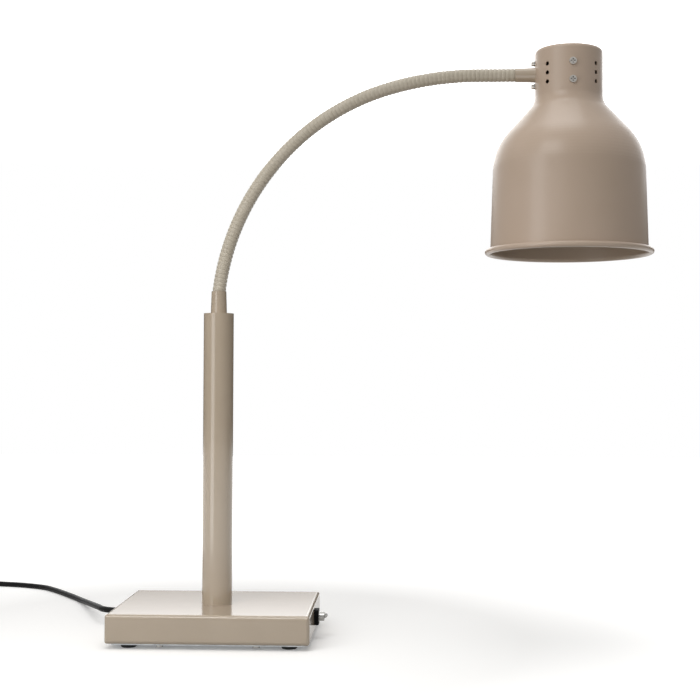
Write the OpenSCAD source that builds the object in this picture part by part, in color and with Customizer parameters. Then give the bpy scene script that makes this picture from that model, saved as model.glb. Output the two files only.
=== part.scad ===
// Food warming lamp: a weighted sheet-metal base, a straight column, a ribbed
// gooseneck arm and a bell-shaped shade with a reflector bulb inside.
// Millimetres. The origin lies on the column's axis at the table; +X points
// from the column to the shade, +Y to the rear and +Z up.

/* [Base] */
// Width of the base, side to side
base_w = 220; // [200:1:280]
// Depth of the base, front to back
base_d = 180; // [170:1:240]
// How far the base's middle lies behind the column
base_back = 8; // [0:1:20]
// Height of the base's top above the table
base_top = 37.5; // [36:0.5:50]
// Gap between the cover and the table
cover_lift = 6; // [5.5:0.5:8]
// Sheet thickness of the cover
sheet_t = 1.5; // [1:0.1:2]
// Outside radius of the cover's folded edges
fold_r = 4; // [2.5:0.5:4]
// Width of the flanges folded under the front and the rear
flange_w = 16; // [15:1:20]
// Thickness of the bottom plate
plate_t = 1.6; // [1:0.1:2]
// Distance from the cover's outline to the bottom plate's edge
plate_inset = 6; // [5:0.5:8]
// Width of the corridor between the ballast weight and each side wall
corridor_w = 38; // [34:0.5:42]
// Width of the space between the ballast weight and the front or rear wall
ballast_end_gap = 18.5; // [17:0.5:30]
// Thickness of the ballast weight
ballast_t = 14; // [8:0.5:14]
// Width of the lead's slot in the ballast weight
ballast_slot = 14; // [8:1:20]
// Side of the square plate that stiffens the cover under the column
stiffener_w = 100; // [60:1:120]
// Thickness of the stiffening plate
stiffener_t = 3; // [2:0.5:4]

/* [Feet] */
// Diameter of a rubber foot
foot_d = 17; // [12:0.5:20]
// Distance from the base's side to a foot's centre
foot_side = 23; // [18:0.5:28]
// Distance from the base's front or rear to a foot's centre
foot_end = 20.5; // [16:0.5:28]

/* [Screws] */
// Thread diameter of the screws in the bottom plate
plate_screw_d = 4; // [3:0.5:5]
// Head diameter of the screws in the bottom plate
plate_screw_head = 8; // [6:0.5:9]
// Height of those screws' heads
plate_screw_head_h = 2.4; // [1.5:0.1:2.8]
// Distance of the cover's screws from the base's middle line
cover_screw_x = 52; // [30:1:70]
// Distance from the cover's front or rear to its screws
cover_screw_end = 12; // [9:0.5:13]
// Distance from the ballast's sides to its screws
ballast_screw_side = 15; // [10:0.5:20]
// Distance from the ballast's front or rear to its screws
ballast_screw_end = 20; // [10:0.5:26]
// Length of the thread in the ballast and past the cover's flange
plate_screw_grip = 6; // [4:0.5:8]
// Thread diameter of the screws in the feet
foot_screw_d = 3; // [2.5:0.5:4]
// Head diameter of the screws in the feet
foot_screw_head = 6; // [5.5:0.5:7]
// Height of those screws' heads
foot_screw_head_h = 1.6; // [1.2:0.1:2]
// Length of a fixing screw that shows past its sheet or nut
thread_end = 3; // [1:0.5:4]

/* [Cord entry] */
// Diameter of the cord
cord_d = 7; // [6:0.5:8]
// Distance from the column's axis back to the cord gland
gland_y = 70; // [60:0.5:71]
// Height of the cord gland above the table
gland_z = 17; // [16.5:0.5:20]
// Diameter of the gland's flange on the outside of the cover
gland_flange_d = 14; // [12:0.5:15]
// Thickness of the gland's flanges
gland_flange_t = 2; // [1.5:0.5:3]
// Diameter of the gland's sleeve where it leaves the flange
gland_sleeve_d = 11; // [10:0.2:12]
// Length of the gland outside the cover
gland_out = 13; // [10:0.5:20]
// Length of the gland inside the cover
gland_in = 5.5; // [4:0.5:6]
// Diameter of the gland at its outer end
gland_tip_d = 9.6; // [9:0.2:11]
// Diameter of the three-core leads inside the lamp
lead_d = 5.6; // [4:0.2:6]
// Diameter of the two wires to the switch
wire_d = 2.4; // [1.5:0.1:3]
// Diameter of the three cores in the cord
core_d = 2.2; // [1.6:0.1:2.3]
// Radius of the cores' bend towards the terminals
core_bend = 8; // [6:0.5:9]
// Thickness of the cord clamp along the cord
clamp_l = 10; // [7:0.5:10]
// Width of the cord clamp across the cord
clamp_w = 20; // [19:0.5:20.5]
// Distance between the cord's middle and each screw of the clamp
clamp_screw_off = 6.5; // [6.5:0.1:7]
// Thread diameter of the clamp's screws
clamp_screw_d = 2.5; // [2:0.5:3]
// Head diameter of the clamp's screws
clamp_screw_head = 5; // [4.5:0.5:6]
// Height of those screws' heads
clamp_screw_head_h = 2; // [1.5:0.1:2.4]
// Length of the terminal block
block_l = 34; // [30:1:40]
// Width of the terminal block
block_w = 20; // [16:0.5:22]
// Height of the terminal block above the ballast
block_rise = 4; // [3.5:0.5:6]
// Diameter of a terminal's screw hole
block_hole_d = 4; // [3:0.5:5]
// Depth of a terminal's screw hole
block_hole_h = 5; // [3:0.5:7]
// Distance from the column forward to the earth terminal
earth_y = 45; // [36:1:48]
// Diameter of the earth lug
earth_lug_d = 10; // [9.5:0.5:12]
// Thickness of the earth lug
earth_lug_t = 1.5; // [1:0.1:2]

/* [Switch] */
// Length of the black switch surround along the base's side
surround_l = 18; // [17:0.5:24]
// Height of the switch surround
surround_h = 17; // [17:0.5:19]
// How far the surround stands out from the base
surround_t = 5; // [4:0.5:6]
// Height of the surround's middle above the table
surround_z = 24; // [23.5:0.5:25.5]
// Radius of the surround's corners
surround_r = 2; // [1:0.5:3]
// Height of the lever's axis above the table
toggle_z = 24.5; // [24:0.1:24.8]
// Diameter of the threaded bushing round the lever
bushing_d = 10.3; // [9.5:0.1:10.6]
// How far the bushing stands out from the surround
bushing_out = 6; // [5:0.5:9]
// Diameter of the lever's ball joint
lever_ball_d = 5.8; // [5:0.1:6]
// Diameter of the lever's rounded tip
lever_tip_d = 6.2; // [5:0.1:6.4]
// Distance from the lever's pivot to the middle of its tip
lever_reach = 4.8; // [4.5:0.1:8]
// Angle between the lever and the level, up or down
lever_tilt = 14; // [8:1:14]
// Diameter of the lever at its ball
lever_root_d = 4; // [3:0.1:4.4]
// Diameter of the lever's tail inside the switch
lever_tail_d = 2.4; // [2:0.1:3]
// Length of the switch's body along the base's side
switch_body_l = 26; // [22:0.5:30]
// Height of the switch's body
switch_body_w = 15; // [13:0.5:15.5]
// Depth of the switch's body
switch_body_t = 22; // [18:0.5:23]
// Length of the switch's terminals
switch_tab_l = 6; // [5:0.5:8]
// Width of the switch's terminals
switch_tab_w = 4.8; // [4:0.2:6.4]
// Thickness of the switch's terminals
switch_tab_t = 1; // [0.8:0.1:1.2]
// Thickness of the nut on the bushing
switch_nut_t = 2; // [1.5:0.1:3]
// Width across the flats of that nut
switch_nut_af = 12; // [11.6:0.1:12.2]

/* [Column] */
// Outside diameter of the column
column_d = 33.7; // [30:0.1:45]
// Wall of the column
column_t = 2; // [1.5:0.1:3]
// Height of the column above the base
column_h = 326.5; // [250:0.5:400]
// Thickness of the plug in the column's foot
foot_plug_t = 14; // [10:1:20]
// Thickness of the plug in the column's top
top_plug_t = 8; // [6:0.5:12]
// Diameter of the hollow stud through the column's foot
stud_d = 13; // [11:0.5:15]
// Thickness of the nut on that stud
stud_nut_t = 6; // [5:0.5:7]
// Width across the flats of that nut
stud_nut_af = 22; // [20:1:24]

/* [Gooseneck] */
// Diameter of the gooseneck over its ribs
neck_d = 15; // [14:0.1:15.4]
// Depth of the grooves between the ribs
rib_depth = 0.5; // [0.3:0.1:0.8]
// Length of one rib, rounded so that whole ribs fill the arm
rib_pitch = 4.84; // [4.6:0.01:7]
// Diameter of the gooseneck's bore
neck_bore_d = 7; // [6:0.5:9]
// Diameter of the smooth ends that the ferrules hold
neck_end_d = 13.6; // [13:0.1:14]
// Length of the smooth straight ends
neck_end_l = 15; // [15:0.5:18]
// Radius of the short bend above the column
bend_a_r = 50; // [45:1:80]
// Turn of the short bend above the column
bend_a_turn = 7; // [5:0.5:8]
// Radius of the rising bend
bend_b_r = 274.5; // [240:0.5:320]
// Turn of the rising bend
bend_b_turn = 42; // [38:0.5:46]
// Radius of the bend at the crown
bend_c_r = 264; // [230:1:300]
// Turn of the bend at the crown
bend_c_turn = 25; // [20:0.5:28]
// Radius of the last bend, which ends level
bend_d_r = 360; // [330:1:420]
// Length of the straight stretch before the shade's ferrule
neck_straight = 41; // [20:0.5:60]
// Number of ribs in each flexing stretch
flex_ribs = 6; // [5:1:8]

/* [Ferrules] */
// Height of the lower ferrule above the column
ferrule_h = 25; // [22:0.5:30]
// Diameter of the lower ferrule at its foot
ferrule_foot_d = 18.2; // [17:0.1:20]
// Diameter of the lower ferrule at its mouth
ferrule_mouth_d = 16.6; // [15.4:0.1:17]
// Length of the upper ferrule
collar_l = 22.5; // [20:0.5:28]
// Diameter of the upper ferrule at its mouth
collar_mouth_d = 15.6; // [15.4:0.1:17]
// Diameter of the upper ferrule at the shade
collar_foot_d = 16.9; // [16:0.1:18]
// Diameter of the hollow threaded stems of the ferrules
stem_d = 10; // [9:0.5:11]
// Diameter of the bore through those stems
stem_bore_d = 6.6; // [6.4:0.1:7]
// Thickness of the nuts on those stems
stem_nut_t = 4.5; // [3:0.5:5]
// Width across the flats of those nuts
stem_nut_af = 14; // [13:0.5:16]

/* [Shade] */
// Diameter of the shade's neck
shade_neck_d = 76; // [74:0.5:90]
// Height of the neck's top above the arm's axis
shade_rise = 28; // [26:0.5:36]
// Height of the neck's straight wall, with its top edge
shade_neck_h = 51.5; // [48:0.5:60]
// Height of the whole shade
shade_h = 231; // [228:0.5:280]
// Diameter of the wall at the rim, over its outside
shade_mouth_d = 175.5; // [170:0.5:200]
// Wall of the shade
shade_t = 1.2; // [0.8:0.1:2]
// Radius of the edge round the closed top
shade_top_r = 4.5; // [2.5:0.5:6]
// Radius of the hollow curve under the neck
throat_r = 22; // [12:0.5:26]
// Angle of the flank below it, from the vertical
flank_angle = 42.5; // [39:0.5:47]
// Radius of the round shoulder
shoulder_r = 64.5; // [50:0.5:70]
// Taper of the lower wall
wall_taper = 1.8; // [0.5:0.1:3]
// Diameter of the rolled bead at the rim
bead_d = 6.6; // [4:0.2:8]
// Diameter of a vent hole
vent_d = 4.8; // [3:0.1:6]
// Height between two vent holes
vent_step = 10; // [7:0.5:12]
// Number of vent holes in each row
vent_count = 3; // [2:1:3]
// Height of the middle vent hole below the arm's axis
vent_drop = 3; // [0:0.5:4]

/* [Shade fixings] */
// Diameter of the front screws
front_screw_d = 4; // [3:0.5:5]
// Head diameter of the front screws
front_screw_head = 8; // [6:0.5:9]
// Height of the front screws' heads
front_screw_head_h = 2.6; // [2:0.1:4]
// Height between the two front screws
front_screw_gap = 20; // [16:0.5:24]
// Diameter of the side screws
side_screw_d = 3; // [2.5:0.5:4]
// Head diameter of the side screws
side_screw_head = 5.5; // [5:0.1:7]
// Height of the side screws' heads
side_screw_head_h = 3; // [2:0.1:4]
// Thickness of the washers under the side screws
side_washer_t = 1.2; // [0.5:0.1:2]
// Height between the two side screws
side_screw_gap = 26; // [24:0.5:32]
// Thickness of the saddle inside the neck, in its middle
saddle_t = 4; // [3:0.5:5]
// Width of the saddle
saddle_w = 28; // [20:1:32]
// Thickness of the lampholder's bracket
bracket_t = 2; // [1.5:0.5:3]
// Width of the bracket's upright
bracket_w = 16; // [12:1:20]
// How far the bracket reaches past the shade's axis
bracket_reach = 14; // [10:1:18]
// Thickness of the nuts on the front screws
front_nut_t = 3; // [2:0.1:4]
// Width across the flats of those nuts
front_nut_af = 7; // [6.5:0.5:8]

/* [Lampholder] */
// Outside diameter of the lampholder
holder_d = 42; // [38:0.5:46]
// Height of the lampholder
holder_h = 41; // [38:0.5:44]
// Diameter of the lampholder's bore
holder_bore_d = 29.2; // [28.6:0.1:31]
// Depth of the lampholder's bore
holder_bore_h = 24; // [22:0.5:26]
// Height of the lampholder's top above the arm's axis
holder_rise = 12.5; // [10:0.5:14]
// Width of the bevel round the lampholder's top
holder_bevel = 4; // [2:0.5:5]
// Distance between the lampholder's middle and each of its screws
holder_screw_x = 9; // [8:0.5:11]
// Length of the threaded shell inside the lampholder
shell_l = 20; // [16:0.5:22]
// Thickness of the threaded shell
shell_t = 0.5; // [0.4:0.1:0.6]
// Diameter of the middle contact
contact_d = 9; // [8:0.5:12]
// Thickness of the middle contact
contact_t = 1.5; // [1:0.1:2]

/* [Bulb] */
// Length of the bulb with its cap
bulb_l = 178; // [168:0.5:180]
// Length of the bulb's cap
cap_l = 27; // [25:0.5:28]
// Diameter of the cap's thread
cap_d = 26.6; // [26:0.1:26.8]
// Diameter of the glass neck
bulb_neck_d = 32; // [30:0.5:36]
// Radius of the bulb's face
lens_r = 90; // [80:1:120]
// Distance from the bulb's axis to the edge of its face
lens_edge = 52; // [44:0.5:54]
// Radius of the round edge behind the face
bulb_edge_r = 24; // [18:0.5:26]
// Radius of the hollow curve between the cone and the neck
bulb_throat_r = 60; // [40:1:70]
// Angle of the reflector cone from the vertical
bulb_cone = 30; // [27:0.5:33]
// Thickness of the glass
glass_t = 1; // [0.6:0.1:1.5]

/* [Plug] */
// Diameter of the mains plug
plug_d = 37; // [34:1:40]
// Length of the plug's body
plug_body_l = 36; // [30:1:44]
// Length of the plug's strain relief
plug_relief_l = 28; // [20:1:36]
// Length of the pins
pin_l = 19; // [17:0.5:21]
// Diameter of the pins
pin_d = 4.8; // [4:0.1:5]
// Distance between the pins
pin_gap = 19; // [17:0.5:21]

/* [Coiled cord] */
// Distance from the coil's axis to the outermost loop's middle line
coil_r = 44; // [40:0.5:60]
// Distance between loops, side by side and one above the other
coil_step = 7.8; // [7.6:0.1:10]
// Turns of the spiral in each of the four layers
layer_turns = 1.25; // [1.25:0.25:2.5]
// Thickness of the tie round the coil
tie_t = 0.8; // [0.4:0.1:1.5]
// Width of the tie
tie_w = 12; // [8:1:20]

/* [Clearances] */
// Gap on each side of a piece that sits in a hole
fit_gap = 0.1; // [0.05:0.01:0.2]
// Gap on each side of a screw or a stem in its hole
hole_gap = 0.2; // [0.1:0.05:0.3]
// Gap round the lever's ball
ball_gap = 0.15; // [0.1:0.05:0.3]

/* [Hidden] */
$fn = 64;

paint = [0.68, 0.61, 0.54];
steel = [0.75, 0.75, 0.76];
zinc = [0.62, 0.63, 0.64];
brass = [0.78, 0.64, 0.36];
black = [0.09, 0.09, 0.09];
lever_metal = [0.82, 0.82, 0.84];
ceramic = [0.93, 0.92, 0.88];
glass = [0.86, 0.88, 0.88];
// A length that carries a cut past the piece it goes through
past = 1;

base_front = base_back - base_d / 2;
base_rear = base_back + base_d / 2;
plate_z = cover_lift - plate_t;
ballast_z = cover_lift;
ballast_top = ballast_z + ballast_t;
cover_inside_z = base_top - sheet_t;
stiffener_z = cover_inside_z - stiffener_t;
foot_x = base_w / 2 - foot_side;
foot_ys = [base_front + foot_end, base_rear - foot_end];
cover_screw_ys = [base_front + cover_screw_end, base_rear - cover_screw_end];
wall_in = base_w / 2 - sheet_t;
ballast_w = 2 * (wall_in - corridor_w);
ballast_d = base_d - 2 * (sheet_t + ballast_end_gap);
ballast_screw_x = ballast_w / 2 - ballast_screw_side;
ballast_screw_y = ballast_d / 2 - ballast_screw_end;
ballast_screw_l = plate_t + plate_screw_grip;
gland_body_d = gland_flange_d - 3;

// The corridor beside the ballast holds the cord's end, its clamp and the terminals.
block_gap = 3.5;
block_x = -(ballast_w / 2 + block_gap + block_w / 2);
block_h = ballast_top - cover_lift + block_rise;
clamp_x = -wall_in + gland_in + 0.5 + clamp_l / 2;
clamp_h = gland_z - cover_lift + cord_d / 2 + 2;
sheath_end = clamp_x + clamp_l / 2 + 1;
core_x = sheath_end + 0.5 + core_bend;
wire_y = 9;
wire_z = ballast_top + wire_d / 2 + 0.8;
lead_z = cover_lift + lead_d / 2 + 4;
lead_bend = 12;

surround_x = base_w / 2;
bushing_x = surround_x + surround_t;
bushing_end = bushing_x + bushing_out;
pivot_x = bushing_end - 4;
lever_tail_l = 5;
bushing_bore = lever_ball_d / 2 + ball_gap;
bushing_lip = 0.6;
column_r = column_d / 2;
column_in_r = column_r - column_t;
column_top = base_top + column_h;
top_plug_z = column_top - top_plug_t;
stud_low = stiffener_z - stud_nut_t - 2;
stud_high = base_top + foot_plug_t - 1;

ferrule_top = column_top + ferrule_h;
neck_z = ferrule_top - neck_end_l - 4;
ferrule_stem_low = top_plug_z - stem_nut_t - 1;
mouth_gap = 0.4;

// The gooseneck's middle line lies in the X-Z plane. A place on it is given by its
// distance s from the lower end, and at(s) returns [x, z, angle from the vertical].
bend_r = [bend_a_r, bend_b_r, bend_c_r, bend_d_r];
bend_turn = [bend_a_turn, bend_b_turn, bend_c_turn, 90 - bend_a_turn - bend_b_turn - bend_c_turn];
function arc_len(k) = bend_r[k] * bend_turn[k] * PI / 180;
function step_along(q, r, turn) =
    [q[0] + r * (cos(q[2]) - cos(q[2] + turn)), q[1] + r * (sin(q[2] + turn) - sin(q[2])), q[2] + turn];
function bend_start(k) = k == 0 ? [0, neck_z + neck_end_l, 0]
    : step_along(bend_start(k - 1), bend_r[k - 1], bend_turn[k - 1]);
function bend_s(k) = k == 0 ? neck_end_l : bend_s(k - 1) + arc_len(k - 1);
function in_bend(s, k) = k == 4 ? bend_start(4) + [s - bend_s(4), 0, 0]
    : s <= bend_s(k + 1) ? step_along(bend_start(k), bend_r[k], (s - bend_s(k)) * 180 / PI / bend_r[k])
    : in_bend(s, k + 1);
function at(s) = s <= neck_end_l ? [0, neck_z + s, 0] : in_bend(s, 0);

rib_first = neck_end_l + 4.5;
rib_last = bend_s(4) + neck_straight - 0.5;
ribs = round((rib_last - rib_first) / rib_pitch);
pitch = (rib_last - rib_first) / ribs;
neck_len = bend_s(4) + neck_straight + neck_end_l;
neck_mouth = at(bend_s(4) + neck_straight);
arm_z = neck_mouth[1];
collar_x = neck_mouth[0];
shade_x = collar_x + collar_l + shade_neck_d / 2;
function rib_s(i) = rib_first + i * pitch;
flex_low = 4;
flex_side = 16;
flex_mid = round(ribs * 0.47);
flex_top = ribs - 15;
neck_sides = 8;
crest_r = neck_d / 2 * 1.03;
groove_r = neck_d / 2 - rib_depth;

shade_top = arm_z + shade_rise;
shade_neck_r = shade_neck_d / 2;
throat_z = shade_top - shade_neck_h;
bead_z = shade_top - shade_h + bead_d / 2;
bead_r = shade_mouth_d / 2 + (bead_d - shade_t) / 2;
shade_in_r = shade_neck_r - shade_t;
vent_z = arm_z - vent_drop;
side_screw_zs = [arm_z - side_screw_gap / 2, arm_z + side_screw_gap / 2];
front_screw_zs = [vent_z - front_screw_gap / 2, vent_z + front_screw_gap / 2];
saddle_x = shade_in_r - saddle_t;
saddle_h = side_screw_gap + 14;
holder_top = arm_z + holder_rise;
holder_low = holder_top - holder_h;
bore_top = holder_low + holder_bore_h;
bulb_top = bore_top - contact_t;
lead_stop = 6;
face_z = bulb_top - bulb_l;
glass_top = bulb_top - cap_l;
bracket_y = shade_in_r - bracket_t;

// Points of an arc in the r-z plane, from angle a to angle b
function arc_pts(c, r, a, b, n) = [for (i = [0:n]) c + r * [cos(a + (b - a) * i / n),
    sin(a + (b - a) * i / n)]];
// The list in the opposite order
function flip(v) = [for (i = [len(v) - 1:-1:0]) v[i]];

// The shade's outline from its top to its rim, drawn in by off along its normal.
// The flank and the wall are as long as the neck, the rim and the radii leave them.
wall_r = shade_mouth_d / 2;
run_r = wall_r - shade_neck_r - throat_r * (1 - cos(flank_angle))
    - shoulder_r * (cos(wall_taper) - cos(flank_angle));
run_z = throat_z - bead_z - throat_r * sin(flank_angle)
    - shoulder_r * (sin(flank_angle) - sin(wall_taper));
flank_l = (run_r * cos(wall_taper) - run_z * sin(wall_taper)) / sin(flank_angle - wall_taper);
wall_l = (run_z * sin(flank_angle) - run_r * cos(flank_angle)) / sin(flank_angle - wall_taper);
throat_c = [shade_neck_r + throat_r, throat_z];
flank_low = throat_c - throat_r * [cos(flank_angle), sin(flank_angle)]
    + flank_l * [sin(flank_angle), -cos(flank_angle)];
shoulder_c = flank_low - shoulder_r * [cos(flank_angle), sin(flank_angle)];
function wall_end(off) = shoulder_c + (shoulder_r - off) * [cos(wall_taper), sin(wall_taper)]
    + wall_l * [sin(wall_taper), -cos(wall_taper)];
function shade_line(off) = concat(
    [[0, shade_top - off]],
    arc_pts([shade_neck_r - shade_top_r, shade_top - shade_top_r], shade_top_r - off, 90, 0, 6),
    arc_pts(throat_c, throat_r + off, 180, 180 + flank_angle, 8),
    arc_pts(shoulder_c, shoulder_r - off, flank_angle, wall_taper, 12),
    [wall_end(off)]);

// The bulb's outline from its face to its neck, drawn in by off along its normal
lens_half = asin(lens_edge / lens_r);
edge_c = [0, face_z + lens_r] + (lens_r - bulb_edge_r) * [sin(lens_half), -cos(lens_half)];
cone_low = edge_c + bulb_edge_r * [cos(bulb_cone), sin(bulb_cone)];
cone_l = (cone_low[0] - bulb_neck_d / 2 - bulb_throat_r * (1 - cos(bulb_cone))) / sin(bulb_cone);
cone_high = cone_low + cone_l * [-sin(bulb_cone), cos(bulb_cone)];
bulb_throat_c = cone_high + bulb_throat_r * [cos(bulb_cone), sin(bulb_cone)];
function bulb_line(off) = concat(
    arc_pts([0, face_z + lens_r], lens_r - off, -90, -90 + lens_half, 6),
    arc_pts(edge_c, bulb_edge_r - off, -90 + lens_half, bulb_cone, 10),
    arc_pts(bulb_throat_c, bulb_throat_r + off, 180 + bulb_cone, 180, 6),
    [[bulb_neck_d / 2 - off, glass_top]]);

// The free cord's route, point by point, from the gland to the coil
cord_floor = cord_d / 2;
coil_x = -412;
coil_y = 320;
tie_gap = 0.3;
tie_r = 3;
coil_z = cord_d / 2 + tie_t + tie_gap;
gland_end = -(base_w / 2 + gland_out);
cord_pts = [[gland_end, gland_y, gland_z], [gland_end - 2, gland_y, gland_z], [-132.2, 71, 17],
    [-139, 73.8, 17], [-144.8, 78.2, 16.9], [-149.2, 84, 16.7], [-150.8, 87.1, 16.6],
    [-154.7, 95.7, 16.2], [-159.1, 105.8, 15.4], [-163.7, 116.5, 14.4], [-168.8, 129.5, 13.2],
    [-174.1, 142.9, 11.8], [-179.6, 157.3, 10.4], [-185.2, 171.7, 8.9], [-190.7, 185.7, 7.5],
    [-196.2, 199.4, 6.2], [-201.4, 211.6, 5.1], [-206.5, 222.8, 4.3], [-214.5, 238.5, cord_floor],
    [-222.3, 251, cord_floor], [-229.8, 262.4, cord_floor], [-237.3, 273.6, cord_floor],
    [-244.8, 284.6, cord_floor], [-252.2, 295.2, cord_floor], [-259.6, 305.4, cord_floor],
    [-266.9, 315, cord_floor], [-274.1, 323.9, cord_floor], [-281.1, 332, cord_floor],
    [-293, 341, cord_floor], [-308, 349.5, cord_floor], [-324, 356.8, cord_floor],
    [-342, 361.8, cord_floor], [-360, 364, 4], [-380, 364, coil_z], [-398, 364, coil_z],
    [coil_x + cord_d, coil_y + coil_r, coil_z]];

// The coil's middle line: t counts turns; the radius falls and rises at a steady rate
// and each layer climbs to the next in the half turn round a reversal.
coil_turns = 4 * layer_turns + 0.25;
rings_per_turn = 24;
coil_rings = round(coil_turns * rings_per_turn);
function to_reversal(t) = abs(t - layer_turns * round(t / layer_turns));
function inward(t) = floor(t / layer_turns) % 2 == 0 ? t - layer_turns * floor(t / layer_turns)
    : layer_turns - (t - layer_turns * floor(t / layer_turns));
function loop_r(t) = t >= 4 * layer_turns ? coil_r + coil_step * (t - 4 * layer_turns)
    : coil_r - coil_step * inward(t);
function ease(u) = u <= 0 ? 0 : u >= 1 ? 1 : (1 - cos(180 * u)) / 2;
function layer_at(t) = ease((t - layer_turns + 0.25) / 0.5) + ease((t - 2 * layer_turns + 0.25) / 0.5)
    + ease((t - 3 * layer_turns + 0.25) / 0.5);
function loop_pt(t) = [coil_x + loop_r(t) * cos(90 + 360 * t), coil_y + loop_r(t) * sin(90 + 360 * t),
    coil_z + coil_step * layer_at(t)];
loop_pts = [for (i = [0:coil_rings]) loop_pt(coil_turns * i / coil_rings)];
coil_out = loop_pts[coil_rings];
coil_last = coil_out + [0, -cord_d, 0];
coil_pts = concat([[coil_x + cord_d, coil_y + coil_r, coil_z]], loop_pts, [coil_last]);
function gap_from(i) = min([for (j = [i + 8:1:coil_rings]) norm(loop_pts[i] - loop_pts[j])]) - cord_d;
echo(least_coil_gap = min([for (i = [0:coil_rings - 8]) gap_from(i)]));
function path_len(p) = len(p) < 2 ? 0 : norm(p[1] - p[0]) + path_len([for (i = [1:1:len(p) - 1]) p[i]]);
plug_y = 258;
plug_z = plug_d / 2;
// A point of the route that lies a distance behind the plug, at height z
function before_plug(back, z) = [coil_last[0], plug_y + back, z];
end_pts = [coil_last, before_plug(46, coil_last[2] - 0.5), before_plug(36, coil_last[2] - 2.5),
    before_plug(26, plug_z + 4), before_plug(17, plug_z + 1.5), before_plug(8, plug_z),
    before_plug(0, plug_z)];
echo(cord_length = path_len(cord_pts) + path_len(coil_pts) + path_len(end_pts));
echo(ribs = ribs, pitch = pitch, neck_mouth = neck_mouth, shade_x = shade_x, face_z = face_z);
echo(flex_places = [for (i = [flex_low, flex_side, flex_mid, flex_top]) at(rib_s(i + flex_ribs / 2))]);

// Triangles that close a tube of n-sided rings, seen from outside
function skin(rings, n, base, turned) = [for (i = [0:rings - 2]) for (j = [0:n - 1])
    for (f = [[i * n + j, i * n + (j + 1) % n, (i + 1) * n + j],
        [(i + 1) * n + j, i * n + (j + 1) % n, (i + 1) * n + (j + 1) % n]])
        turned ? [base + f[0], base + f[2], base + f[1]] : [base + f[0], base + f[1], base + f[2]]];
function fan(first, n, turned) = [for (j = [1:n - 2])
    turned ? [first, first + j + 1, first + j] : [first, first + j, first + j + 1]];
function rim(a, b, n, turned) = [for (j = [0:n - 1]) for (f = [[a + j, b + j, a + (j + 1) % n],
        [b + j, b + (j + 1) % n, a + (j + 1) % n]])
        turned ? [f[0], f[2], f[1]] : f];

// A solid tube through points in space; each ring lies square to the route
function unit(v) = v / norm(v);
function heading(p, i) = unit(p[min(i + 1, len(p) - 1)] - p[max(i - 1, 0)]);
function side_of(t) = unit(cross([0, 0, 1], t));
module tube(p, d, sides, first, last) {
    pts = [for (i = [0:len(p) - 1])
        let (t = i == 0 ? first : i == len(p) - 1 ? last : heading(p, i), u = side_of(t), v = cross(t, u))
        for (j = [0:sides - 1]) p[i] + d / 2 * (cos(360 * j / sides) * u + sin(360 * j / sides) * v)];
    polyhedron(pts, concat(skin(len(p), sides, 0, true), fan(0, sides, false),
        fan((len(p) - 1) * sides, sides, true)));
}

// A stretch of the gooseneck between ribs a and b, with its bore
function neck_ring(s, r) = let (q = at(s)) [for (j = [0:neck_sides - 1])
    let (c = r * cos(360 * j / neck_sides), e = r * sin(360 * j / neck_sides))
    [q[0] + c * cos(q[2]), e, q[1] - c * sin(q[2])]];
module neck(a, b, head = [], tail = []) {
    ribbed = [for (i = [0:2 * (b - a)]) [rib_s(a + i / 2), i % 2 == 0 ? groove_r : crest_r]];
    outer = concat(head, ribbed, tail);
    bore = concat([for (h = head) [h[0], neck_bore_d / 2]],
        [for (i = [0:b - a]) [rib_s(a + i), neck_bore_d / 2]],
        [for (h = tail) [h[0], neck_bore_d / 2]]);
    no = len(outer) * neck_sides;
    pts = concat([for (o = outer) each neck_ring(o[0], o[1])], [for (o = bore) each neck_ring(o[0],
        o[1])]);
    polyhedron(pts, concat(skin(len(outer), neck_sides, 0, false), skin(len(bore), neck_sides, no, true),
        rim(0, no, neck_sides, false),
        rim(no - neck_sides, no + (len(bore) - 1) * neck_sides, neck_sides, true)));
}

// A screw's cross recess: length, width and depth as shares of the head
recess_l = 0.64;
recess_w = 0.16;
recess_h = 0.5;
// A pan-head screw along +Z: the head lies under z = 0 and the shank goes up
module screw(head, head_h, d, l) {
    translate([0, 0, -head_h]) cylinder(h = head_h, d = head);
    cylinder(h = l, d = d);
}
module slots(head, head_h) {
    for (a = [0, 90]) rotate([0, 0, a])
        translate([-head * recess_l / 2, -head * recess_w / 2, -head_h - past])
            cube([head * recess_l, head * recess_w, head_h * recess_h + past]);
}
module cross_screw(head, head_h, d, l) {
    difference() {
        screw(head, head_h, d, l);
        slots(head, head_h);
    }
}
module hex_nut(af, t, d) {
    difference() {
        cylinder(h = t, r = af / 2 / cos(30), $fn = 6);
        translate([0, 0, -past]) cylinder(h = t + 2 * past, d = d + 2 * fit_gap);
    }
}
// A rectangle with round corners, centred
module round_rect(w, h, r) {
    square([w - 2 * r, h], center = true);
    square([w, h - 2 * r], center = true);
    for (x = [-1, 1]) for (y = [-1, 1]) translate([x * (w / 2 - r), y * (h / 2 - r)]) circle(r);
}
// The base's block: every long edge round, drawn in by off on each side
module base_block(off) {
    h = base_top - cover_lift;
    r = fold_r - off;
    intersection() {
        translate([0, base_back, cover_lift])
            linear_extrude(h) round_rect(base_w - 2 * off, base_d - 2 * off, r);
        translate([0, base_rear, cover_lift + h / 2]) rotate([90, 0, 0])
            linear_extrude(base_d) round_rect(base_w - 2 * off, h - 2 * off, r);
        translate([-base_w / 2, base_back, cover_lift + h / 2]) rotate([90, 0, 90])
            linear_extrude(base_w) round_rect(base_d - 2 * off, h - 2 * off, r);
    }
}

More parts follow.
